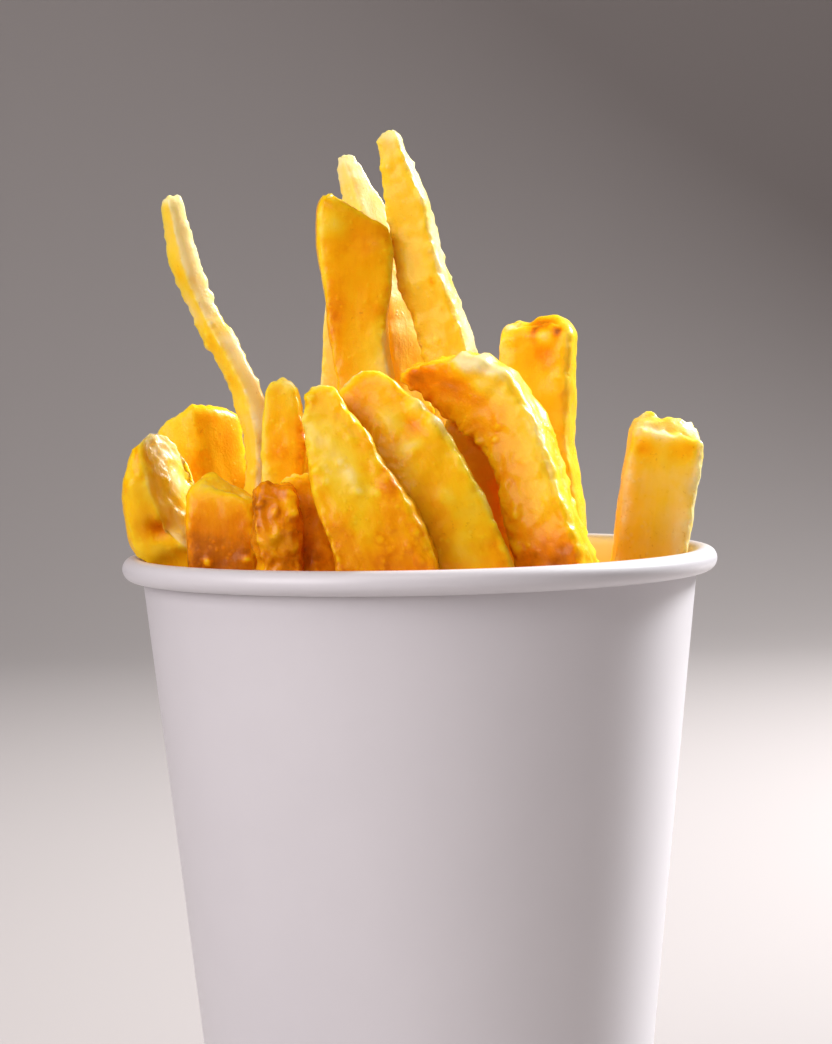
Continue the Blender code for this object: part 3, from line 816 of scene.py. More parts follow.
STANDING_FRIES: tuple[Fry, ...] = (
    Fry("thin_bent", Batch.TALL, (
        (-24.2, -1.0, 88, 3.6, 3.4), (-24.2, -1.5, 119, 3.6, 3.4), (-24.3, -1.2, 129, 3.8, 3.5),
        (-25.8, 0.0, 134.6, 3.9, 3.6), (-28.6, 1.5, 140.3, 4.0, 3.7), (-31.7, 2.5, 146, 3.8, 3.6),
        (-34.1, 2.5, 151.8, 3.7, 3.6), (-35.7, 2.0, 158.2, 3.6, 3.5), (-36.8, 1.0, 164.4, 2.9, 2.8)),
        roll=(-52, -48), tip_round=1.4, square=2.9,
        crust=Crust(0.30, 0.27, lit_side_tone=-0.24, blisters=0.9, lumps=0.9, grit=1.0),
        marks=(Mark((0.4, -1.4, 12), (1.2, 1.5, 1.8), 0.18), Mark((0.6, -1.4, 24), (1.2, 1.5, 2.4), 0.18),
               Mark((0.2, -1.4, 30.5), (1.0, 1.5, 1.6), 0.20),
               Mark((-0.6, -1.4, 18), (1.0, 1.5, 2.0), -0.20))),
    Fry("left_block", Batch.FRONT, (
        (-28, 7, 88, 9, 9), (-31.6, 8, 110, 11.4, 10.8), (-33.2, 8.6, 121, 12.0, 11.2),
        (-33.8, 9, 128.6, 11.8, 11.0)),
        roll=(46, 46), tip_rise=-1.8, tip_drop=-3.4, tip_round=1.2, square=3.2,
        crust=Crust(0.56, 0.50, lit_side_tone=-0.05, end_tone=-0.05, blisters=0.1, lumps=0.5),
        # The pale marks along the top's edges are painted rim highlights.
        marks=(Mark((-5.6, 1, 0), (0.9, 6, 3), -0.24), Mark((-3, -4, 0), (3.0, 1.2, 1.0), -0.16))),
    Fry("rim_chunk", Batch.FRONT, (
        (-31.5, -5, 88, 8, 8), (-35.7, -6, 108.2, 8.6, 8), (-37.3, -6.5, 112.6, 10.6, 9.2),
        (-37.9, -7, 118, 12.2, 10.4), (-37.5, -7, 123, 11.8, 10.4), (-37.2, -6.4, 129.0, 8.4, 8.4)),
        tip_rise=-1.0, tip_round=3.4, square=3.6,
        crust=Crust(0.56, 0.54, lit_side_tone=-0.10, blisters=0.6, lumps=1.1, grit=1.4, crag=0.08),
        marks=(Mark((-2.5, -4.4, 3.6), (2.0, 3, 2.2), 0.16),
               Mark((-1.4, -4.8, 16.8), (2.4, 2, 1.5), -0.20, -0.6),
               Mark((0.2, -5.2, 14.2), (2.4, 2.5, 1.3), 0.16, 1.4), Mark((-5, -2, 8), (1.0, 3, 6), -0.12),
               Mark((2.0, -4.4, 14.8), (1.2, 2, 2.4), -0.20), Mark((-3.2, -4.6, 9), (1.4, 2, 2.6), -0.12)),
        # The facet's pale tone is painted light from the back light.
        cuts=(Cut((-1.7, -4.9, 9.6), (0.78, -0.48, 0.36), -0.26),)),
    Fry("left_wedge", Batch.FRONT, (
        (-26.0, -14.5, 88, 9.5, 7), (-28.2, -17.5, 110, 10.6, 7.5), (-28.3, -17, 118, 10.2, 7.5),
        (-28.6, -16.2, 122.6, 9.9, 7.2)),
        roll=(-8, -8), tip_rise=-3.4, tip_drop=1.6, tip_round=3.2, square=5.5,
        crust=Crust(0.78, 0.55, end_tone=-0.16, blisters=0.3),
        # The pale band across the top and the pale corner at its right are painted light from above; the
        # brown toward the rim is partly painted shade.
        marks=(Mark((0.5, -3.0, 2.0), (5.0, 2.4, 1.3), -0.22),
               Mark((3.6, -2.4, 2.6), (1.6, 2.4, 2.0), -0.28, -0.5), Mark((-3, -3.8, 11), (3, 2, 4), 0.08),
               Mark((3.4, -3.8, 12), (2, 2, 3), 0.06),
               Mark((-1.9, -3.9, 12.6), (0.5, 1, 0.45), -0.40, -0.8),
               Mark((4.0, -3.9, 12.4), (0.6, 1, 0.4), -0.36, -0.7))),
    Fry("narrow_tongue", Batch.FRONT, (
        (-19.5, -16.5, 88, 6.5, 5.6), (-19.4, -17.5, 112, 6.5, 5.6), (-19.4, -17, 122, 6.4, 5.5),
        (-19.4, -16, 129.5, 6.2, 5.2), (-19.4, -14.8, 136.4, 4.4, 3.8)),
        roll=(4, -4), tip_round=2.2, square=5.0,
        crust=Crust(0.62, 0.46, lit_side_tone=0.0, blisters=0.3, lumps=0.8, crag=0.08),
        # The darker strip down the right side is painted shade; the pale patch at the top right is painted
        # light.
        marks=(Mark((2.8, -2.4, 10), (1.0, 2, 6), 0.16), Mark((1.2, -2.0, 1.5), (1.0, 2, 3), -0.20),
               Mark((-3.0, -2.2, 8), (0.7, 2, 7), -0.20), Mark((-0.6, -2.6, 10.5), (1.4, 1.5, 1.8), 0.10),
               Mark((-2.2, -2.6, 15), (1.2, 1.5, 2), -0.26, -0.2),
               Mark((0, -2.6, 17.5), (2, 1.5, 1.2), -0.24))),
    Fry("crisp_bit", Batch.CRISP, (
        (-18.8, -27, 90, 6, 5), (-19.8, -29.5, 110, 6.4, 5.6), (-20.2, -29.5, 116.4, 6.2, 5.4),
        (-20.6, -28.6, 121.8, 5.4, 4.4)),
        roll=(-10, 8), tip_round=1.4, square=3.4,
        crust=Crust(0.70, 0.74, lit_side_tone=0.04, end_tone=0.06, blisters=1.4, lumps=1.2, grit=1.6,
                    crag=0.36),
        marks=(Mark((0, -2.7, 8), (1.6, 2, 1.8), -0.14, -0.6),
               Mark((1.8, -2.4, 3.6), (1.2, 2, 1.4), -0.22, -0.4),
               Mark((-2.4, -2, 4.5), (1.0, 2, 2.4), 0.16))),
    Fry("dark_stick", Batch.CRISP, (
        (-12.5, -24.5, 88, 6, 5.6), (-14.4, -26.2, 110, 6.2, 5.6), (-15.8, -25.4, 116.4, 5.6, 5.4),
        (-17.6, -23.8, 122.8, 4.6, 4.8)),
        roll=(10, 10), tip_round=1.6, square=3.4,
        crust=Crust(0.70, 0.58, lit_side_tone=0.0, blisters=0.8, grit=1.4, crag=0.2)),
    Fry("front_slab", Batch.FRONT, (
        (-2.0, -30, 88, 12, 7), (-4.6, -33.6, 110, 13.6, 7.4), (-6.8, -33, 116, 12.8, 7.4),
        (-9.0, -32, 121, 11.2, 7.2), (-10.8, -30.4, 126.3, 9, 6.8), (-12.4, -28.8, 130.6, 6.3, 5.8),
        (-13.7, -27.5, 135.2, 3.6, 4.2)),
        roll=(-2, -2), tip_round=1.4, square=6.5,
        crust=Crust(0.68, 0.48, lit_side_tone=-0.04, blisters=1.3, lumps=0.8, grit=1.6, crag=0.11),
        # The pale peach area on the upper left and the small pale spots are painted sheen and highlights;
        # the darker strip at the right is painted shade from the mid wedge.
        marks=(Mark((-0.6, -3.4, 13), (3.0, 2, 7), -0.32), Mark((-2.4, -3, 8), (1.3, 2, 3.4), -0.20, -0.2),
               Mark((0.4, -3.6, 15.4), (1.0, 1.5, 1.6), -0.22, -0.3),
               Mark((2.2, -3.6, 18), (1.0, 1.5, 2.4), -0.18), Mark((5.6, -3.6, 18), (1.2, 2, 5), 0.08),
               Mark((-1.5, -3.6, 22), (1.6, 2, 2.4), -0.14))),
    Fry("mid_wedge", Batch.FRONT, (
        (9.5, -25.5, 92, 11, 7.5), (6.6, -28.5, 109.7, 12.2, 7.8), (4.7, -28, 114.6, 12, 7.8),
        (2.2, -27, 120.1, 11.6, 7.8), (-0.2, -25.6, 124.4, 11.2, 7.6), (-3.3, -23.6, 128.7, 10.6, 7.2),
        (-6.8, -21.8, 132.8, 8.6, 6.4), (-9.6, -20.6, 135.8, 5.4, 4.8)),
        roll=(2, 2), tip_round=1.8, square=6.0,
        crust=Crust(0.58, 0.53, lit_side_tone=-0.18, blisters=0.8, grit=1.8, crag=0.08),
        # The pale patches and lumps along the upper right are painted light; the deeper orange on the left
        # is painted shade from the front slab.
        marks=(Mark((-0.6, -2.6, 3), (3.4, 2, 4), 0.08), Mark((3.4, -3.9, 26), (2.4, 2, 4), -0.20),
               Mark((-4.6, -3.6, 18), (2.0, 3, 8), 0.10), Mark((0.4, -3.9, 30), (1.6, 2, 3), -0.16, -0.2),
               Mark((1.0, -3.9, 23), (1.0, 2, 1.4), -0.14, -0.3),
               Mark((-2.5, -3.9, 18), (3.0, 2, 4), -0.06),
               Mark((0.3, -3.6, 9.6), (1.4, 2, 2.4), -0.34, -0.3),
               Mark((0.4, -3.9, 14.8), (1.9, 1.5, 0.8), -0.36),
               Mark((4.4, -3.2, 10.6), (1.1, 3, 1.5), -0.40, -0.9),
               Mark((4.8, -3.0, 13.8), (1.1, 3, 1.4), -0.40, -0.9),
               Mark((5.2, -2.6, 18), (0.9, 3, 3.5), -0.12, -0.2),
               Mark((2.4, -3.8, 12.2), (1.2, 2, 1.4), 0.14, 0.4), Mark((-4, -3.9, 28), (2, 2, 4), 0.10))),
    Fry("wide_tower", Batch.TALL, (
        (-7.5, -6, 88, 10, 7), (-7.3, -4, 120, 9, 7), (-7.5, -2, 135.5, 8.4, 7.2),
        (-8.6, 0, 143.5, 8.6, 7.4), (-8.7, 1, 151, 10.5, 7.4), (-9.2, 2, 158, 11, 7.2),
        (-9.3, 2.2, 162.2, 10.2, 6.6)),
        roll=(-40, 10), tip_rise=-4.6, tip_round=1.6, square=6.5,
        # The darker top is painted shadow of the tall spear; the pale band down the right and the thin pale
        # left edge are painted light.
        crust=Crust(0.42, 0.60, lit_side_tone=-0.20, blisters=0.15, lumps=0.7),
        marks=(Mark((-3.2, -3.4, 2.6), (2.0, 1.5, 1.8), -0.34, -0.2),
               Mark((-3.2, -3.7, 19), (1.4, 2, 7), 0.14), Mark((1.4, -3.7, 26), (2.0, 2, 6), -0.12),
               Mark((3.5, -3.4, 27), (1.4, 2, 9), -0.22), Mark((-5.2, -3, 12), (0.6, 2, 14), -0.20),
               Mark((3, -3.6, 9), (3, 2, 6), 0.04))),
    Fry("tower_shadow", Batch.TALL, (
        (-11.0, 5, 88, 6, 3.6), (-11.5, 5, 125, 6, 3.6), (-11.5, 5, 136, 6, 3.6),
        (-10.8, 5, 149.4, 5, 3.4)),
        roll=(-8, -8), tip_round=1.6, crust=Crust(0.24, 0.20, blisters=0.1, lumps=0.5, grit=0.6)),
    Fry("leaning_tip", Batch.TALL, (
        (-1.0, 9, 88, 4.5, 8), (-1.6, 9.5, 134, 4.5, 8), (-2.4, 9.8, 140.4, 4.5, 8),
        (-4.1, 11, 149.8, 4.5, 7.4), (-7.0, 12, 160.2, 4.4, 6), (-8.9, 12, 166.4, 3.2, 4.0),
        (-10.6, 12, 170.8, 1.6, 2.0)),
        roll=(-48, -44), tip_round=0.9, square=5.0,
        # The cream toward the tip, where the light reaches it, is painted light.
        crust=Crust(0.58, 0.10, lit_side_tone=-0.14, blisters=0.2, lumps=0.5, grit=1.2),
        marks=(Mark((1, -3, 33), (3, 4, 9), 0.02), Mark((1.6, -3, 24), (1.6, 3, 2.2), 0.0, -0.5),
               Mark((1.6, -3, 30), (1.6, 3, 2.2), 0.0, -0.5))),
    Fry("tall_spear", Batch.TALL, (
        (9.5, 0.5, 88, 8, 7), (7.6, 1.2, 125, 8, 7), (5.4, 2, 139.4, 7.5, 6.8), (2.2, 3, 149.4, 7.2, 6.4),
        (0.6, 4, 155.6, 7, 6), (-0.9, 4, 163.2, 6.2, 5.4), (-2.2, 4, 168.2, 4.8, 4.4),
        (-3.4, 4, 173.6, 2.6, 2.8)),
        roll=(-19, -17), tip_round=1.2, square=4.4,
        crust=Crust(0.40, 0.28, lit_side_tone=-0.30, blisters=0.5, grit=2.0),
        marks=(Mark((0.6, -1.8, 1.2), (1.2, 2, 1.4), -0.14), Mark((1.8, -3.1, 24.4), (0.5, 1.5, 0.6), 0.42),
               Mark((0.6, -3.2, 21), (0.7, 1.5, 1.2), 0.14), Mark((-1.4, -3, 10), (1.2, 2, 4), 0.06))),
    Fry("hooked_fry", Batch.TALL, (
        (22.0, -24, 90, 9.4, 7.2), (19.3, -25, 109.2, 10.4, 7.6), (17.4, -23.4, 116.4, 9.5, 7.8),
        (15.9, -21.4, 122.4, 8.8, 7.8), (13.6, -19, 128.4, 9.2, 7.6), (9.4, -17, 133, 10.6, 7),
        (4.6, -15.4, 135.2, 8.4, 6), (1.2, -14.4, 136, 5.0, 4.8), (-2.0, -13.6, 136.3, 1.8, 2.6)),
        roll=(-27, -12), tip_round=1.2, square=5.5,
        crust=Crust(0.60, 0.60, burn=0.20, burn_reach=4.0, lit_side_tone=-0.20, blisters=0.9, grit=2.4,
                    crag=0.09),
        # The pale lumps and patches along the top are painted light on the crust, the darker patch under the
        # bend is painted shade, the pale band down the right of the body is painted light, and the browner
        # foot is partly painted shade.
        marks=(Mark((3.8, -2.8, 9.6), (1.0, 2.0, 1.2), -0.50, -0.5),
               Mark((4.8, -1, 8.4), (1.1, 3, 1.0), -0.30, -1.0),
               Mark((4.4, -2.4, 11.8), (1.0, 2.0, 1.2), -0.50, -0.4),
               Mark((5.0, -1, 11.0), (1.1, 3, 1.0), -0.24, -1.0),
               Mark((5.0, -1, 13.8), (1.1, 3, 1.0), -0.30, -0.8),
               Mark((2.4, -3.3, 12.4), (1.0, 2, 1.0), -0.34, -0.3), Mark((0.4, -3.4, 9), (1.8, 2, 5), 0.16),
               Mark((3.0, -3.4, 14.6), (1.4, 2, 1.2), -0.30), Mark((2.2, -4, 33), (1.8, 2, 3), -0.14),
               Mark((3.6, -4, 23), (1.5, 3, 9), -0.26), Mark((1.4, -4, 24), (2.0, 2, 7), -0.14),
               Mark((2.6, -4.2, 40), (3.0, 1.6, 6.0), 0.20), Mark((-2.4, -4, 42), (4.0, 3, 5.0), 0.18),
               Mark((2, -4, 37), (2.2, 2, 1.8), -0.06))),
    Fry("inner_stick", Batch.FRONT, (
        (10.8, -14.5, 88, 6.6, 6), (10.2, -15, 114, 6.6, 6), (8.7, -14, 124, 6.6, 6),
        (5.8, -12.4, 131.0, 5, 5)),
        tip_round=1.8, crust=Crust(0.54, 0.50, blisters=0.8, grit=1.4)),
    Fry("trough_top", Batch.TALL, (
        (22.1, 1, 88, 8.6, 7.4), (21.0, 1, 111, 8.6, 7.5), (20.0, 2, 120, 8.8, 7.5),
        (19.2, 3, 129, 9.2, 7.5), (18.7, 3.6, 136, 10.8, 7.5), (18.8, 4, 145.4, 11.6, 7.2)),
        roll=(-18, -14), tip_rise=0.4, tip_drop=1.2, tip_round=2.6, square=5.0,
        crust=Crust(0.38, 0.46, lit_side_tone=-0.06, end_tone=-0.10, blisters=0.3),
        # The pale spot beside the burnt rim is a painted highlight, and the pale right lobe and the band
        # below it are painted light; the burnt rim and dark spot are the crust's own.
        marks=(Mark((-1.4, 0, 0), (1.2, 6, 1.6), 0.04, 0.9), Mark((1.2, -1.4, 1.6), (2.6, 2.6, 1.3), 0.40),
               Mark((3.7, -3.2, 2.8), (0.7, 1.5, 1.3), 0.44, 0.3),
               Mark((1.7, -3.5, 3.6), (1.2, 1.2, 1.0), -0.46, -0.3),
               Mark((0.2, -3.2, 3.2), (0.7, 1.5, 1.6), 0.24),
               Mark((2.0, -3.7, 6.2), (2.3, 2, 2.6), 0.24, 0.4),
               Mark((4.6, -3.2, 4.0), (1.2, 2.5, 2.6), -0.08), Mark((4.2, -3.4, 19), (1.8, 2, 10), -0.08),
               Mark((-4.8, -3.0, 5), (1.1, 2, 5), -0.18), Mark((-3.4, -1.6, 1.6), (1.8, 2, 1.2), -0.24))),
    Fry("right_post", Batch.TALL, (
        (32.2, -2.6, 86, 10, 8), (34.7, -3, 109.4, 10.9, 8), (35.9, -2.5, 117, 11.0, 8),
        (37.2, -2, 124.4, 11.2, 8), (38.0, -1.6, 130.4, 10.9, 7.6)),
        tip_rise=-0.8, tip_drop=2.6, tip_round=2.6, square=6.0,
        crust=Crust(0.25, 0.27, lit_side_tone=-0.12, end_tone=-0.08, blisters=0.15, lumps=0.7, grit=1.5),
        # The pale bands down both edges are painted rim light.
        marks=(Mark((-1.0, 2.6, 0.6), (0.8, 3.0, 1.4), 0.10, 0.9),
               Mark((-3.8, -3.8, 6.2), (2.2, 2, 2.2), 0.26), Mark((2.9, -3.8, 5.9), (2.8, 2, 1.9), 0.24),
               Mark((-1.2, -3.2, 3.9), (3.0, 1.8, 1.2), -0.30), Mark((-5, -3, 13), (0.7, 3, 9), -0.22),
               Mark((3.6, -4, 18), (1.6, 2, 7), -0.18), Mark((4.8, -3, 6), (0.7, 3, 6), -0.24))),
    Fry("back_far_left", Batch.BACK, (
        (-23, 19, 88, 9, 8), (-26.5, 21.5, 110, 9, 8), (-28.6, 23.4, 123.6, 8.4, 7.4)),
        roll=(-35, -35), tip_rise=1.0, crust=Crust(0.46, 0.40)),
    Fry("back_left", Batch.BACK, (
        (-13.5, 24, 88, 9, 8), (-15.2, 27.5, 112, 9.4, 8), (-16.6, 29.4, 128.4, 8.2, 7.2)),
        roll=(-12, -12), tip_rise=-1.5, crust=Crust(0.40, 0.34, blisters=0.5)),
    Fry("back_middle", Batch.BACK, (
        (-4.5, 25, 88, 9.6, 8), (-5.2, 29, 115, 9.4, 8), (-6.0, 31, 139.5, 8, 6.8)),
        roll=(4, 14), tip_rise=2.0, crust=Crust(0.44, 0.40, burn=0.25)),
    Fry("back_right", Batch.BACK, (
        (5.5, 26, 88, 9, 8), (6.2, 29.5, 112, 9, 8), (7.2, 32, 131.8, 8, 7)),
        roll=(10, 10), tip_rise=-1.0, crust=Crust(0.50, 0.42, blisters=0.6)),
    Fry("back_far_right", Batch.BACK, (
        (15, 22, 88, 9, 8), (16.2, 24.6, 112, 9, 8), (17.4, 26.6, 133.6, 7.6, 7)),
        roll=(28, 28), tip_rise=1.2, crust=Crust(0.40, 0.36)),
    Fry("inner_left", Batch.BACK, (
        (-15, 9, 88, 8, 8), (-16.2, 10.5, 110, 8.4, 8), (-17.4, 12, 127.6, 7, 7)),
        roll=(20, 20), tip_rise=0.8, crust=Crust(0.48, 0.40, blisters=0.5)),
    Fry("inner_middle", Batch.BACK, (
        (4.5, 13, 88, 9, 8), (5.2, 14.4, 112, 9, 8), (5.8, 15.6, 133, 7.8, 7)),
        roll=(-18, -18), tip_rise=-1.2, crust=Crust(0.42, 0.38)),
    Fry("low_front_right", Batch.LOW, (
        (24.5, -11, 84, 9, 8), (26.2, -12, 102.4, 8.4, 7.4)),
        roll=(20, 20), tip_rise=1.0, crust=Crust(0.50, 0.50)),
    Fry("low_back_right", Batch.LOW, (
        (21, 29, 78, 9, 8), (22.4, 30, 99.4, 8.4, 7.4)),
        roll=(-38, -38), tip_rise=-1.4, crust=Crust(0.48, 0.44)),
    Fry("low_right", Batch.LOW, (
        (32.0, 13.0, 76, 8.5, 7.5), (33.0, 13.6, 93.5, 8, 7)),
        roll=(55, 55), tip_rise=1.4, crust=Crust(0.50, 0.46)),
)


class MiddleLine:
    """A fry's middle line and section sizes, smoothed between its stations."""

    TANGENT_STEP = 0.2

    def __init__(self, fry: Fry) -> None:
        """Measure the stations along the line."""
        self.fry = fry
        self.stations = np.array(fry.stations, dtype=float)
        runs = np.linalg.norm(np.diff(self.stations[:, :3], axis=0), axis=1)
        self.stops = np.concatenate(([0.0], np.cumsum(runs)))
        self.length = float(self.stops[-1])
        self.slopes = np.gradient(self.stations, self.stops, axis=0)

    def sections(self, distances: np.ndarray) -> np.ndarray:
        """Rows of (x, y, z, width, depth) at distances from the foot, from Hermite spans."""
        last = len(self.stops) - 2
        index = np.clip(np.searchsorted(self.stops, distances, side="right") - 1, 0, last)
        span = self.stops[index + 1] - self.stops[index]
        part = ((distances - self.stops[index]) / span)[:, None]
        rest = 1.0 - part
        ends = rest * rest * (1.0 + 2.0 * part) * self.stations[index]
        ends += part * part * (3.0 - 2.0 * part) * self.stations[index + 1]
        bow = rest * self.slopes[index] - part * self.slopes[index + 1]
        return ends + span[:, None] * part * rest * bow

    def frames(self, distances: np.ndarray) -> tuple[np.ndarray, np.ndarray, np.ndarray]:
        """The directions of the sections.

        Args:
            distances: Distances from the foot.

        Returns:
            The unit directions across, through and along, one a row.
        """
        behind = self.sections(np.maximum(distances - self.TANGENT_STEP, 0.0))
        ahead = self.sections(np.minimum(distances + self.TANGENT_STEP, self.length))
        along = unit(ahead[:, :3] - behind[:, :3])
        across = unit(np.cross(along, (0.0, -1.0, 0.0)))
        through = np.cross(along, across)
        roll = np.radians(np.interp(distances, (0.0, self.length), self.fry.roll))[:, None]
        across = across * np.cos(roll) + through * np.sin(roll)
        return across, np.cross(along, across), along


class Layer(Enum):
    """The noises over a fry's surface: where each is read, and the size of its lumps, in millimetres."""

    SLOW = (0.0, 8.5)
    WIDE = (100.0, 3.8)
    FINE = (200.0, 1.5)
    GRIT = (250.0, 0.85)
    BLISTERED = (300.0, 5.5)
    FOLDS = (400.0, 2.4)
    CRAGS = (500.0, 1.0)
    BURN = (600.0, 2.2)
    FACETS = (700.0, 4.0)
    MARKS = (800.0, 1.8)


class FryMaker:
    """Makes one fry: a straight lattice bar, bent, tapered, and worked into a fried crust."""

    PLACE_STEP = (53.0, 17.0, 31.0)
    TIP_CROWDING = 1.0
    MOST_TIP_INSET = 0.62
    END_REACH = 0.8
    SLANT_REACH = 2.0
    SIDE_BLEND = (0.38, 0.62)
    EDGE_POWER = 4.5
    CROWN = 0.30
    CUT_ROUND = 0.45
    CUT_EDGE = 0.8
    # Heights in millimetres, for a share of 1 in the fry's crust.
    SLOW_HEIGHT = 0.55
    WIDE_HEIGHT = 0.26
    FINE_HEIGHT = 0.08
    FINE_GRIT_HEIGHT = 0.26
    GRIT_HEIGHT = 0.22
    FLAT_GRIT = 0.12
    EDGE_HEIGHT = 0.10
    BLISTER_SPACING = 2.3
    BLISTER_REACH = 0.42
    BLISTER_HEIGHT = 0.24
    LEAST_BLISTER = 0.6
    BLISTER_FIELD = (0.35, 0.75)
    CRAG_BASE = 0.9
    CRAG_FOLDS = 2.6
    CRAG_GRIT = 0.5
    # How uneven the borders of tones are.
    BURN_RAGGED = 1.6
    FACET_RAGGED = 0.9
    MARK_RAGGED = 0.35

    def __init__(self, fry: Fry, number: int, cup: PaperCup) -> None:
        """Take one fry, its number in the bundle, and the cup that it stands in."""
        self.fry = fry
        self.cup = cup
        self.line = MiddleLine(fry)
        self.place = np.array(self.PLACE_STEP) * (number + 1)

    def lattice(self) -> bpy.types.Mesh:
        """A bar from -1 to 1 on each axis, cut into cells that are even on the finished fry."""
        cell = self.fry.batch.cell
        widths = self.line.stations[:, 3:].max(axis=0)
        cuts = [max(3, round(size / cell) - 1) for size in (*widths, self.line.length)]
        shape = bmesh.new()
        bmesh.ops.create_cube(shape, size=2.0)
        for axis, number in enumerate(cuts):
            edges = [edge for edge in shape.edges
                     if abs(edge.verts[0].co[axis] - edge.verts[1].co[axis]) > SAME_POINT]
            bmesh.ops.subdivide_edges(shape, edges=edges, cuts=number)
        return mesh_from(self.fry.name, shape)

    def layer(self, layer: Layer) -> np.ndarray:
        """One of the noises at each point of the fry, about -1 to 1."""
        offset, size = layer.value
        return noise_at(self.own + self.place + offset, size)

    def bend(self, lattice: np.ndarray) -> np.ndarray:
        """Bend the bar along the middle line, round its edges and shape its tip.

        Args:
            lattice: The bar's points.

        Returns:
            The bent points in millimetres. The fry's own coordinates are kept for the surface.
        """
        fry = self.fry
        side, face, up = lattice.T
        rows, ring = np.unique(np.round(up, 6), return_inverse=True)
        run = 0.5 * (1.0 - rows) * self.line.length
        crowded = np.hypot(run, self.TIP_CROWDING) - self.TIP_CROWDING
        from_tip = crowded * self.line.length / crowded.max()
        distances = self.line.length - from_tip
        sections = self.line.sections(distances)[ring]
        across, through, along = (axis[ring] for axis in self.line.frames(distances))
        self.below = from_tip[ring]
        widest = np.maximum(np.abs(side), np.abs(face))
        rounded = widest / np.maximum((np.abs(side) ** fry.square + np.abs(face) ** fry.square), 1e-9) ** (
            1.0 / fry.square)
        half = 0.5 * sections[:, 3:]
        self.cap = up > 1.0 - SAME_POINT
        # Masks for painted light: the +width side away from the cap, and the cut end with the stretch just
        # below it.
        self.right = smooth_step(side - 0.5 * np.abs(face), *self.SIDE_BLEND) * ~self.cap
        self.end = np.where(self.cap, 1.0, np.exp(-(self.below / self.END_REACH) ** 2))
        near = np.clip(1.0 - self.below / fry.tip_round, 0.0, 1.0)
        inset = 1.0 - np.sqrt(1.0 - near * near)
        half = half - np.minimum(fry.tip_round, self.MOST_TIP_INSET * half) * inset[:, None]
        lowest = np.minimum(np.abs(side), np.abs(face))
        self.edge = np.where(self.cap, widest, lowest) ** self.EDGE_POWER
        self.edge = np.maximum(self.edge, np.where(self.cap, 0.0, near ** 2))
        slope = 0.5 * (fry.tip_rise * side + fry.tip_drop * (face - 1.0))
        slant = slope * np.exp(-self.below / (self.SLANT_REACH + abs(fry.tip_rise) + abs(fry.tip_drop)))
        crown = self.CROWN * fry.tip_round * (1.0 - widest ** 2) * self.cap
        lift = slant + crown - self.CROWN * fry.tip_round
        self.own = np.column_stack((side * rounded * half[:, 0], face * rounded * half[:, 1],
                                    lift - self.below))
        self.facets = sum((self.slice(cut) for cut in fry.cuts), np.zeros(len(side)))
        return (sections[:, :3] + across * self.own[:, :1] + through * self.own[:, 1:2]
                + along * (self.own[:, 2] + self.below)[:, None])

    def slice(self, cut: Cut) -> np.ndarray:
        """Press what lies beyond a cut back onto it, and mark its border as an edge.

        Args:
            cut: The cut.

        Returns:
            The tone that the cut adds at each point.
        """
        normal = np.array(cut.facing) / np.linalg.norm(cut.facing)
        beyond = (self.own - np.array((cut.at[0], cut.at[1], -cut.at[2]))) @ normal
        over = np.maximum(beyond, 0.0)
        self.own -= (over - self.CUT_ROUND * (1.0 - np.exp(-over / self.CUT_ROUND)))[:, None] * normal
        self.edge = np.maximum(self.edge, self.CUT_EDGE * np.exp(-(beyond / self.CUT_ROUND) ** 2))
        return cut.tone * smooth_step(beyond, 0.0, self.CUT_ROUND)

    def relief(self) -> tuple[np.ndarray, np.ndarray]:
        """How far each point stands out of the bar, in millimetres, and its blisters, 0 to 1."""
        crust = self.fry.crust
        slow, wide = self.layer(Layer.SLOW), self.layer(Layer.WIDE)
        fine, grit = self.layer(Layer.FINE), self.layer(Layer.GRIT)
        out = crust.lumps * (self.SLOW_HEIGHT * slow + self.WIDE_HEIGHT * wide + self.FINE_HEIGHT * fine)
        grit_share = crust.grit * (self.FLAT_GRIT + (1.0 - self.FLAT_GRIT) * self.edge)
        out += grit_share * (self.FINE_GRIT_HEIGHT * fine + self.GRIT_HEIGHT * grit)
        out += self.EDGE_HEIGHT * self.edge
        field = self.layer(Layer.BLISTERED) + 0.5 * self.edge
        low, high = (limit - 0.5 * crust.blisters for limit in self.BLISTER_FIELD)
        domes = domes_at(self.own + self.place, self.BLISTER_SPACING, self.BLISTER_REACH)
        domes *= smooth_step(field, low, high) * min(1.0, self.LEAST_BLISTER + crust.blisters)
        out += self.BLISTER_HEIGHT * domes
        if crust.crag > 0.0:
            folds = self.CRAG_BASE - self.CRAG_FOLDS * np.abs(self.layer(Layer.FOLDS))
            out += crust.crag * (folds + self.CRAG_GRIT * self.layer(Layer.CRAGS))
        return out, domes

    def tones(self, points: np.ndarray) -> np.ndarray:
        """Tone of the crust: its own, browner at a burnt tip, plus painted shade low and painted light on
        lit faces.
        """
        crust = self.fry.crust
        above_rim = max(self.line.stations[-1, 2] - self.cup.height, 1.0)
        share = np.clip((points[:, 2] - self.cup.height) / above_rim, 0.0, 1.0)
        # From the rim tone to the tip tone: partly the crust's own, partly painted shade low in the cup and
        # painted light or shade toward lit and shaded tips.
        tone = crust.low_tone + (crust.tip_tone - crust.low_tone) * share
        ragged = self.below + self.BURN_RAGGED * self.layer(Layer.BURN)
        tone = tone + crust.burn * np.exp(-(np.maximum(ragged, 0.0) / crust.burn_reach) ** 2)
        patchy = 1.0 + self.FACET_RAGGED * self.layer(Layer.FACETS)
        # Painted light on the +width side, the cut end and knife facets, broken up by the facet noise.
        return tone + patchy * (crust.lit_side_tone * self.right + crust.end_tone * self.end + self.facets)

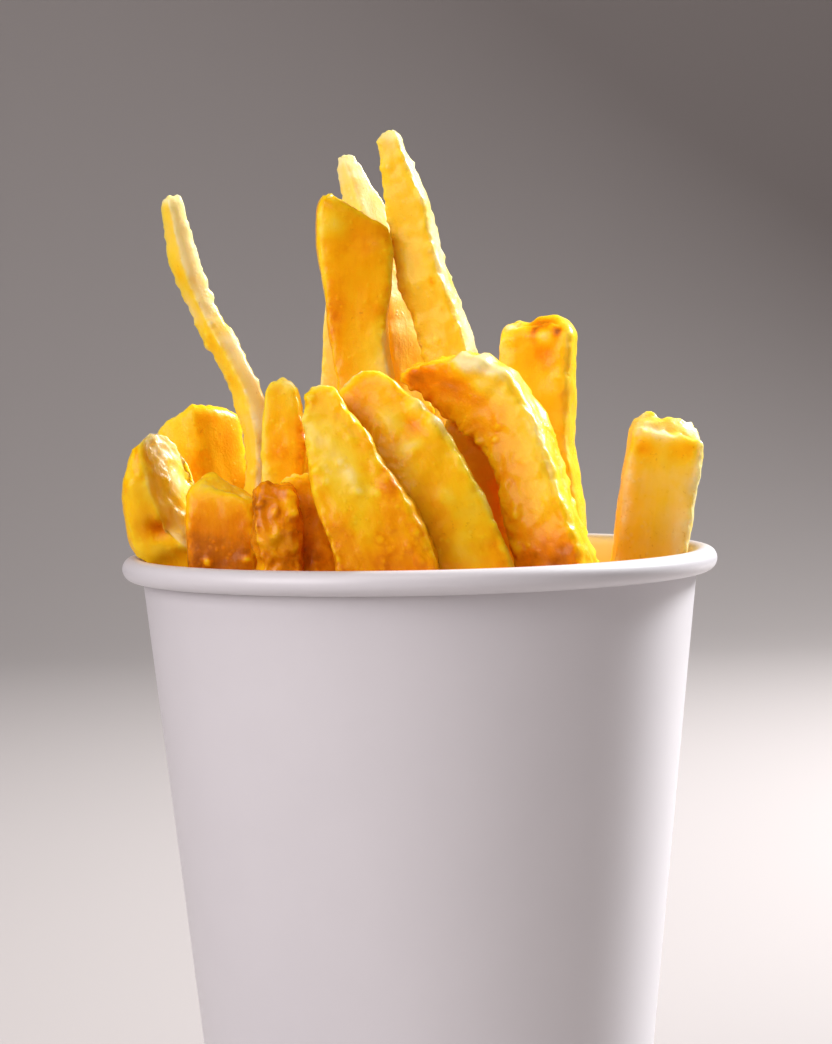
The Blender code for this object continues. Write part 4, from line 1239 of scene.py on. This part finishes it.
    def make(self) -> bpy.types.Object:
        """Make the fry.

        Returns:
            The fry as an object in metres, with the attributes that the crust's finish reads.
        """
        mesh = self.lattice()
        points = self.bend(read_points(mesh))
        write_points(mesh, points)
        normals = read_normals(mesh)
        out, domes = self.relief()
        tone = self.tones(points)
        ragged = self.MARK_RAGGED * self.layer(Layer.MARKS)
        # Each mark's tone: the crust's own colour for burns and spots, and for many pale and dark patches
        # painted light and painted shade.
        for mark in self.fry.marks:
            centre = np.array((mark.at[0], mark.at[1], -mark.at[2]))
            away = np.linalg.norm((self.own - centre) / mark.reach, axis=1)
            out -= mark.depth * np.exp(-away ** 2)
            tone += mark.tone * np.exp(-(away + ragged) ** 2)
        points = self.cup.press(points + normals * out[:, None])
        write_points(mesh, points * MM)
        write_crust(mesh, self.own + self.place, tone, domes, self.edge)
        return new_object(self.fry.name, mesh)


@dataclass
class LowFries:
    """Short fries that fill the cup between the standing ones, placed on a jittered hexagon grid."""

    cup: PaperCup
    spacing: float = 9.4
    jitter: float = 1.1
    reach: float = 34.0
    foot: float = 76.0
    top: float = 101.0
    dip: float = 14.0
    dip_centre: Row = (29.0, 12.0)
    dip_radius: float = 17.0
    clearance: float = 6.6
    # How far down a standing fry's line its place in the grid is taken: a share, up to a length.
    measured: float = 0.35
    measured_length: float = 30.0
    lean_spread: float = 1.3
    lean_outwards: float = 0.05
    widths: Row = (7.4, 9.6)
    depths: Row = (6.6, 8.4)
    drops: Row = (0.0, 4.0)
    turns: Row = (0.0, 90.0)
    rises: Row = (-1.6, 1.6)
    tones: Row = (0.38, 0.60)
    blisters: Row = (0.1, 0.8)
    taper: float = 0.92
    seed: int = 11

    def top_at(self, x: float, y: float) -> float:
        """Height of the fill at a place, lower where the cup isn't full."""
        away = math.dist((x, y), self.dip_centre) / self.dip_radius
        return self.top - self.dip * math.exp(-away * away)

    def places(self) -> list[Row]:
        """The grid's places inside the cup."""
        rows = int(self.reach / self.spacing) + 2
        found = []
        for row in range(-rows, rows + 1):
            for column in range(-rows, rows + 1):
                x = self.spacing * (column + 0.5 * (row % 2))
                y = self.spacing * row * math.sin(math.radians(60.0))
                if math.hypot(x, y) < self.reach:
                    found.append((x, y))
        return found

    def fries(self, standing: tuple[Fry, ...]) -> list[Fry]:
        """The short fries.

        Args:
            standing: The fries that already stand in the cup.

        Returns:
            A fry at each free place, leaning and turned its own way.
        """
        rng = np.random.default_rng(self.seed)
        lines = [MiddleLine(fry) for fry in standing]
        low = [self.measured * min(line.length, self.measured_length) for line in lines]
        taken = np.array([line.sections(np.array([run]))[0, :2] for line, run in zip(lines, low)])
        fries = []
        for x, y in self.places():
            shift = rng.uniform(-self.jitter, self.jitter, 2)
            lean = rng.normal(0.0, self.lean_spread, 2) + self.lean_outwards * np.array((x, y))
            width, depth = rng.uniform(*self.widths), rng.uniform(*self.depths)
            drop, turn, rise = rng.uniform(*self.drops), rng.uniform(*self.turns), rng.uniform(*self.rises)
            tone, blisters = rng.uniform(*self.tones), rng.uniform(*self.blisters)
            foot = np.array((x, y)) + shift
            if np.hypot(*(taken - foot).T).min() < self.clearance:
                continue
            stations = ((*foot, self.foot, width, depth),
                        (*(foot + lean), self.top_at(x, y) - drop, self.taper * width, self.taper * depth))
            fries.append(Fry(f"low_{len(fries)}", Batch.LOW, stations, roll=(turn, turn), tip_rise=rise,
                             crust=Crust(tone, tone, blisters=blisters)))
        return fries


@dataclass
class FryBundle:
    """Every fry in the cup, joined into one piece for each batch."""

    cup: PaperCup
    standing: tuple[Fry, ...] = STANDING_FRIES
    finishes: dict[Batch, bpy.types.Material] = field(default_factory=dict)

    def build(self) -> list[bpy.types.Object]:
        """Make the fries and join them.

        Returns:
            The joined pieces.
        """
        fries = list(self.standing) + LowFries(self.cup).fries(self.standing)
        made: dict[Batch, list[bpy.types.Object]] = {batch: [] for batch in Batch}
        for number, fry in enumerate(fries):
            made[fry.batch].append(FryMaker(fry, number, self.cup).make())
        pieces = []
        for batch, things in made.items():
            piece = join_objects(things, batch.piece)
            finish_piece(piece, self.finishes[batch], Slot.FRIED_POTATO, "fries")
            pieces.append(piece)
        return pieces


@dataclass
class PackedCore:
    """The lumpy core under the short fries, which fills the cup down to its base."""

    cup: PaperCup
    bottom: float = 9.0
    top: float = 84.0
    rings: int = 22
    side_rows: int = 12
    turn_steps: int = 96
    lump: float = 2.6
    # A deeper amber than the fries above it: painted shade for the gaps it shows through.
    tone: float = 0.62

    def build(self, material: bpy.types.Material) -> bpy.types.Object:
        """Make the core.

        Args:
            material: Its fried finish.

        Returns:
            The core, in metres.
        """
        cup = self.cup
        edge = cup.inner_radius(self.top) - cup.gap
        rise = (self.top - self.bottom) / self.side_rows
        profile = [(0.0, self.bottom)]
        profile += [(cup.inner_radius(self.bottom + rise * row) - cup.gap, self.bottom + rise * row)
                    for row in range(self.side_rows)]
        profile += [(edge * (self.rings - ring) / self.rings, self.top) for ring in range(self.rings + 1)]
        mesh = turned_mesh("packed_core", profile, self.turn_steps, closed=False)
        places = read_points(mesh)
        on_top = places[:, 2] > self.top - SAME_POINT
        lumps = noise_at(places, 7.0) + 0.5 * noise_at(places, 3.0)
        places[on_top, 2] += self.lump * lumps[on_top]
        write_points(mesh, self.cup.press(places) * MM)
        plain = np.zeros(len(places))
        write_crust(mesh, places, plain + self.tone, plain, plain)
        core = new_object("packed_core", mesh)
        finish_piece(core, material, Slot.FRIED_POTATO, "fries")
        return core


# ---------------------------------------------------------------- studio


@dataclass(frozen=True)
class SoftLight:
    """A rectangular studio light.

    turn is measured round the cup from the camera's side, to the right, and lift above the
    horizon, both in degrees. distance and size are in metres, and power in watts.
    """

    name: str
    turn: float
    lift: float
    distance: float
    size: Row
    power: float
    color: Color

    def place(self, target: Vector) -> None:
        """Hang the light and aim it at the target."""
        lamp = bpy.data.lights.new(self.name, "AREA")
        lamp.shape = "RECTANGLE"
        lamp.size, lamp.size_y = self.size
        lamp.energy = self.power
        lamp.color = self.color
        turn, lift = math.radians(self.turn), math.radians(self.lift)
        way = Vector((math.sin(turn) * math.cos(lift), -math.cos(turn) * math.cos(lift), math.sin(lift)))
        thing = new_object(self.name, lamp)
        thing.location = target + way * self.distance
        thing.rotation_euler = (-way).to_track_quat("-Z", "Y").to_euler()


@dataclass
class Studio:
    """The pale floor and backdrop, the lights, and the camera."""

    lights: tuple[SoftLight, ...] = (
        SoftLight("back_key", 127.0, 34.0, 0.95, (0.20, 0.30), 21.0, (0.96, 0.97, 1.0)),
        SoftLight("front_fill", -50.0, 24.0, 1.25, (0.90, 0.80), 11.8, (1.0, 0.95, 0.985)),
        SoftLight("top_fill", -12.0, 62.0, 1.10, (0.90, 0.60), 4.6, (1.0, 0.95, 0.93)),
    )
    sky: Color = (1.0, 0.66, 0.60)
    sky_strength: float = 0.030
    aim: Triple = (0.0, 0.0, 0.10)
    floor_tone: Color = (0.42, 0.385, 0.37)
    floor_shade: float = 0.97
    floor_cloud: float = 0.4
    floor_roughness: float = 0.85
    floor_reach: float = 1.5
    backdrop_height: float = 1.6
    backdrop_bend: float = 0.6
    backdrop_segments: int = 16
    camera_place: Triple = (-0.44, -400.0, 135.95)
    camera_down: float = 3.11
    camera_roll: float = -1.15
    lens: float = 90.93
    sensor: float = 36.0
    nearest: float = 0.02

    def build(self) -> None:
        """Set up everything that isn't part of the object."""
        self.build_floor()
        self.build_world()
        for light in self.lights:
            light.place(Vector(self.aim))
        self.build_camera()

    def build_floor(self) -> None:
        """A floor that sweeps up into a backdrop."""
        shape = bmesh.new()
        bmesh.ops.create_grid(shape, x_segments=1, y_segments=1, size=self.floor_reach)
        back = [edge for edge in shape.edges if all(corner.co.y > 0.0 for corner in edge.verts)]
        risen = bmesh.ops.extrude_edge_only(shape, edges=back)["geom"]
        risen = [part for part in risen if isinstance(part, bmesh.types.BMVert)]
        bmesh.ops.translate(shape, vec=(0.0, 0.0, self.backdrop_height), verts=risen)
        bend = [edge for edge in shape.edges
                if all(corner.co.y > 0.0 and corner.co.z < SAME_POINT for corner in edge.verts)]
        bmesh.ops.bevel(shape, geom=bend, offset=self.backdrop_bend, segments=self.backdrop_segments,
                        profile=0.5, affect="EDGES", material=-1)
        floor = new_object("studio_floor", mesh_from("studio_floor", shape))
        material, wires, shader = new_material("studio_floor")
        place = wires.add("ShaderNodeTexCoord").outputs["Object"]
        shaded = tuple(self.floor_shade * part for part in self.floor_tone)
        tone = wires.blend(wires.lumps(place, self.floor_cloud), shaded, self.floor_tone)
        wires.feed(shader, {"Base Color": tone, "Roughness": self.floor_roughness})
        floor.data.materials.append(material)

    def build_world(self) -> None:
        """An even pale sky."""
        world = bpy.data.worlds.new("studio_sky")
        world.use_nodes = True
        background = world.node_tree.nodes["Background"]
        background.inputs["Color"].default_value = opaque(self.sky)
        background.inputs["Strength"].default_value = self.sky_strength
        bpy.context.scene.world = world

    def build_camera(self) -> None:
        """The camera in front of the cup, a little above the rim, looking slightly down."""
        camera = bpy.data.cameras.new("camera")
        camera.lens = self.lens
        camera.sensor_width = self.sensor
        camera.clip_start = self.nearest
        thing = new_object("camera", camera)
        down, roll = math.radians(self.camera_down), math.radians(self.camera_roll)
        ahead = Vector((0.0, math.cos(down), -math.sin(down)))
        right = Vector((1.0, 0.0, 0.0))
        up = right.cross(ahead)
        turned_right = math.cos(roll) * right + math.sin(roll) * up
        turned_up = math.cos(roll) * up - math.sin(roll) * right
        turn = Matrix((turned_right, turned_up, -ahead)).transposed().to_4x4()
        thing.matrix_world = Matrix.Translation(Vector(self.camera_place) * MM) @ turn
        bpy.context.scene.camera = thing


def main() -> None:
    """Build the cup, the fries and the studio."""
    logging.basicConfig(level=logging.INFO, format="%(message)s")
    bpy.context.scene.view_settings.view_transform = "Standard"
    low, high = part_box("cup_wall")
    cup = PaperCup(height=high.z / MM, rim_radius=0.5 * (high.x - low.x) / MM)
    paper = CupPaper().build()
    finish_piece(cup.build_wall(), paper, Slot.CUP_PAPER, "cup_wall")
    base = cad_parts["cup_base"]
    base.data.materials.clear()
    base.data.materials.append(paper)
    maps = CrustMaps().build()
    gold, crisp, low_gold = (finish.build(maps) for finish in (GOLD, CRISP, LOW_GOLD))
    finishes = {Batch.TALL: gold, Batch.FRONT: gold, Batch.CRISP: crisp, Batch.BACK: gold,
                Batch.LOW: low_gold}
    FryBundle(cup, finishes=finishes).build()
    PackedCore(cup).build(low_gold)
    Studio().build()


if __name__ == "__main__":
    main()
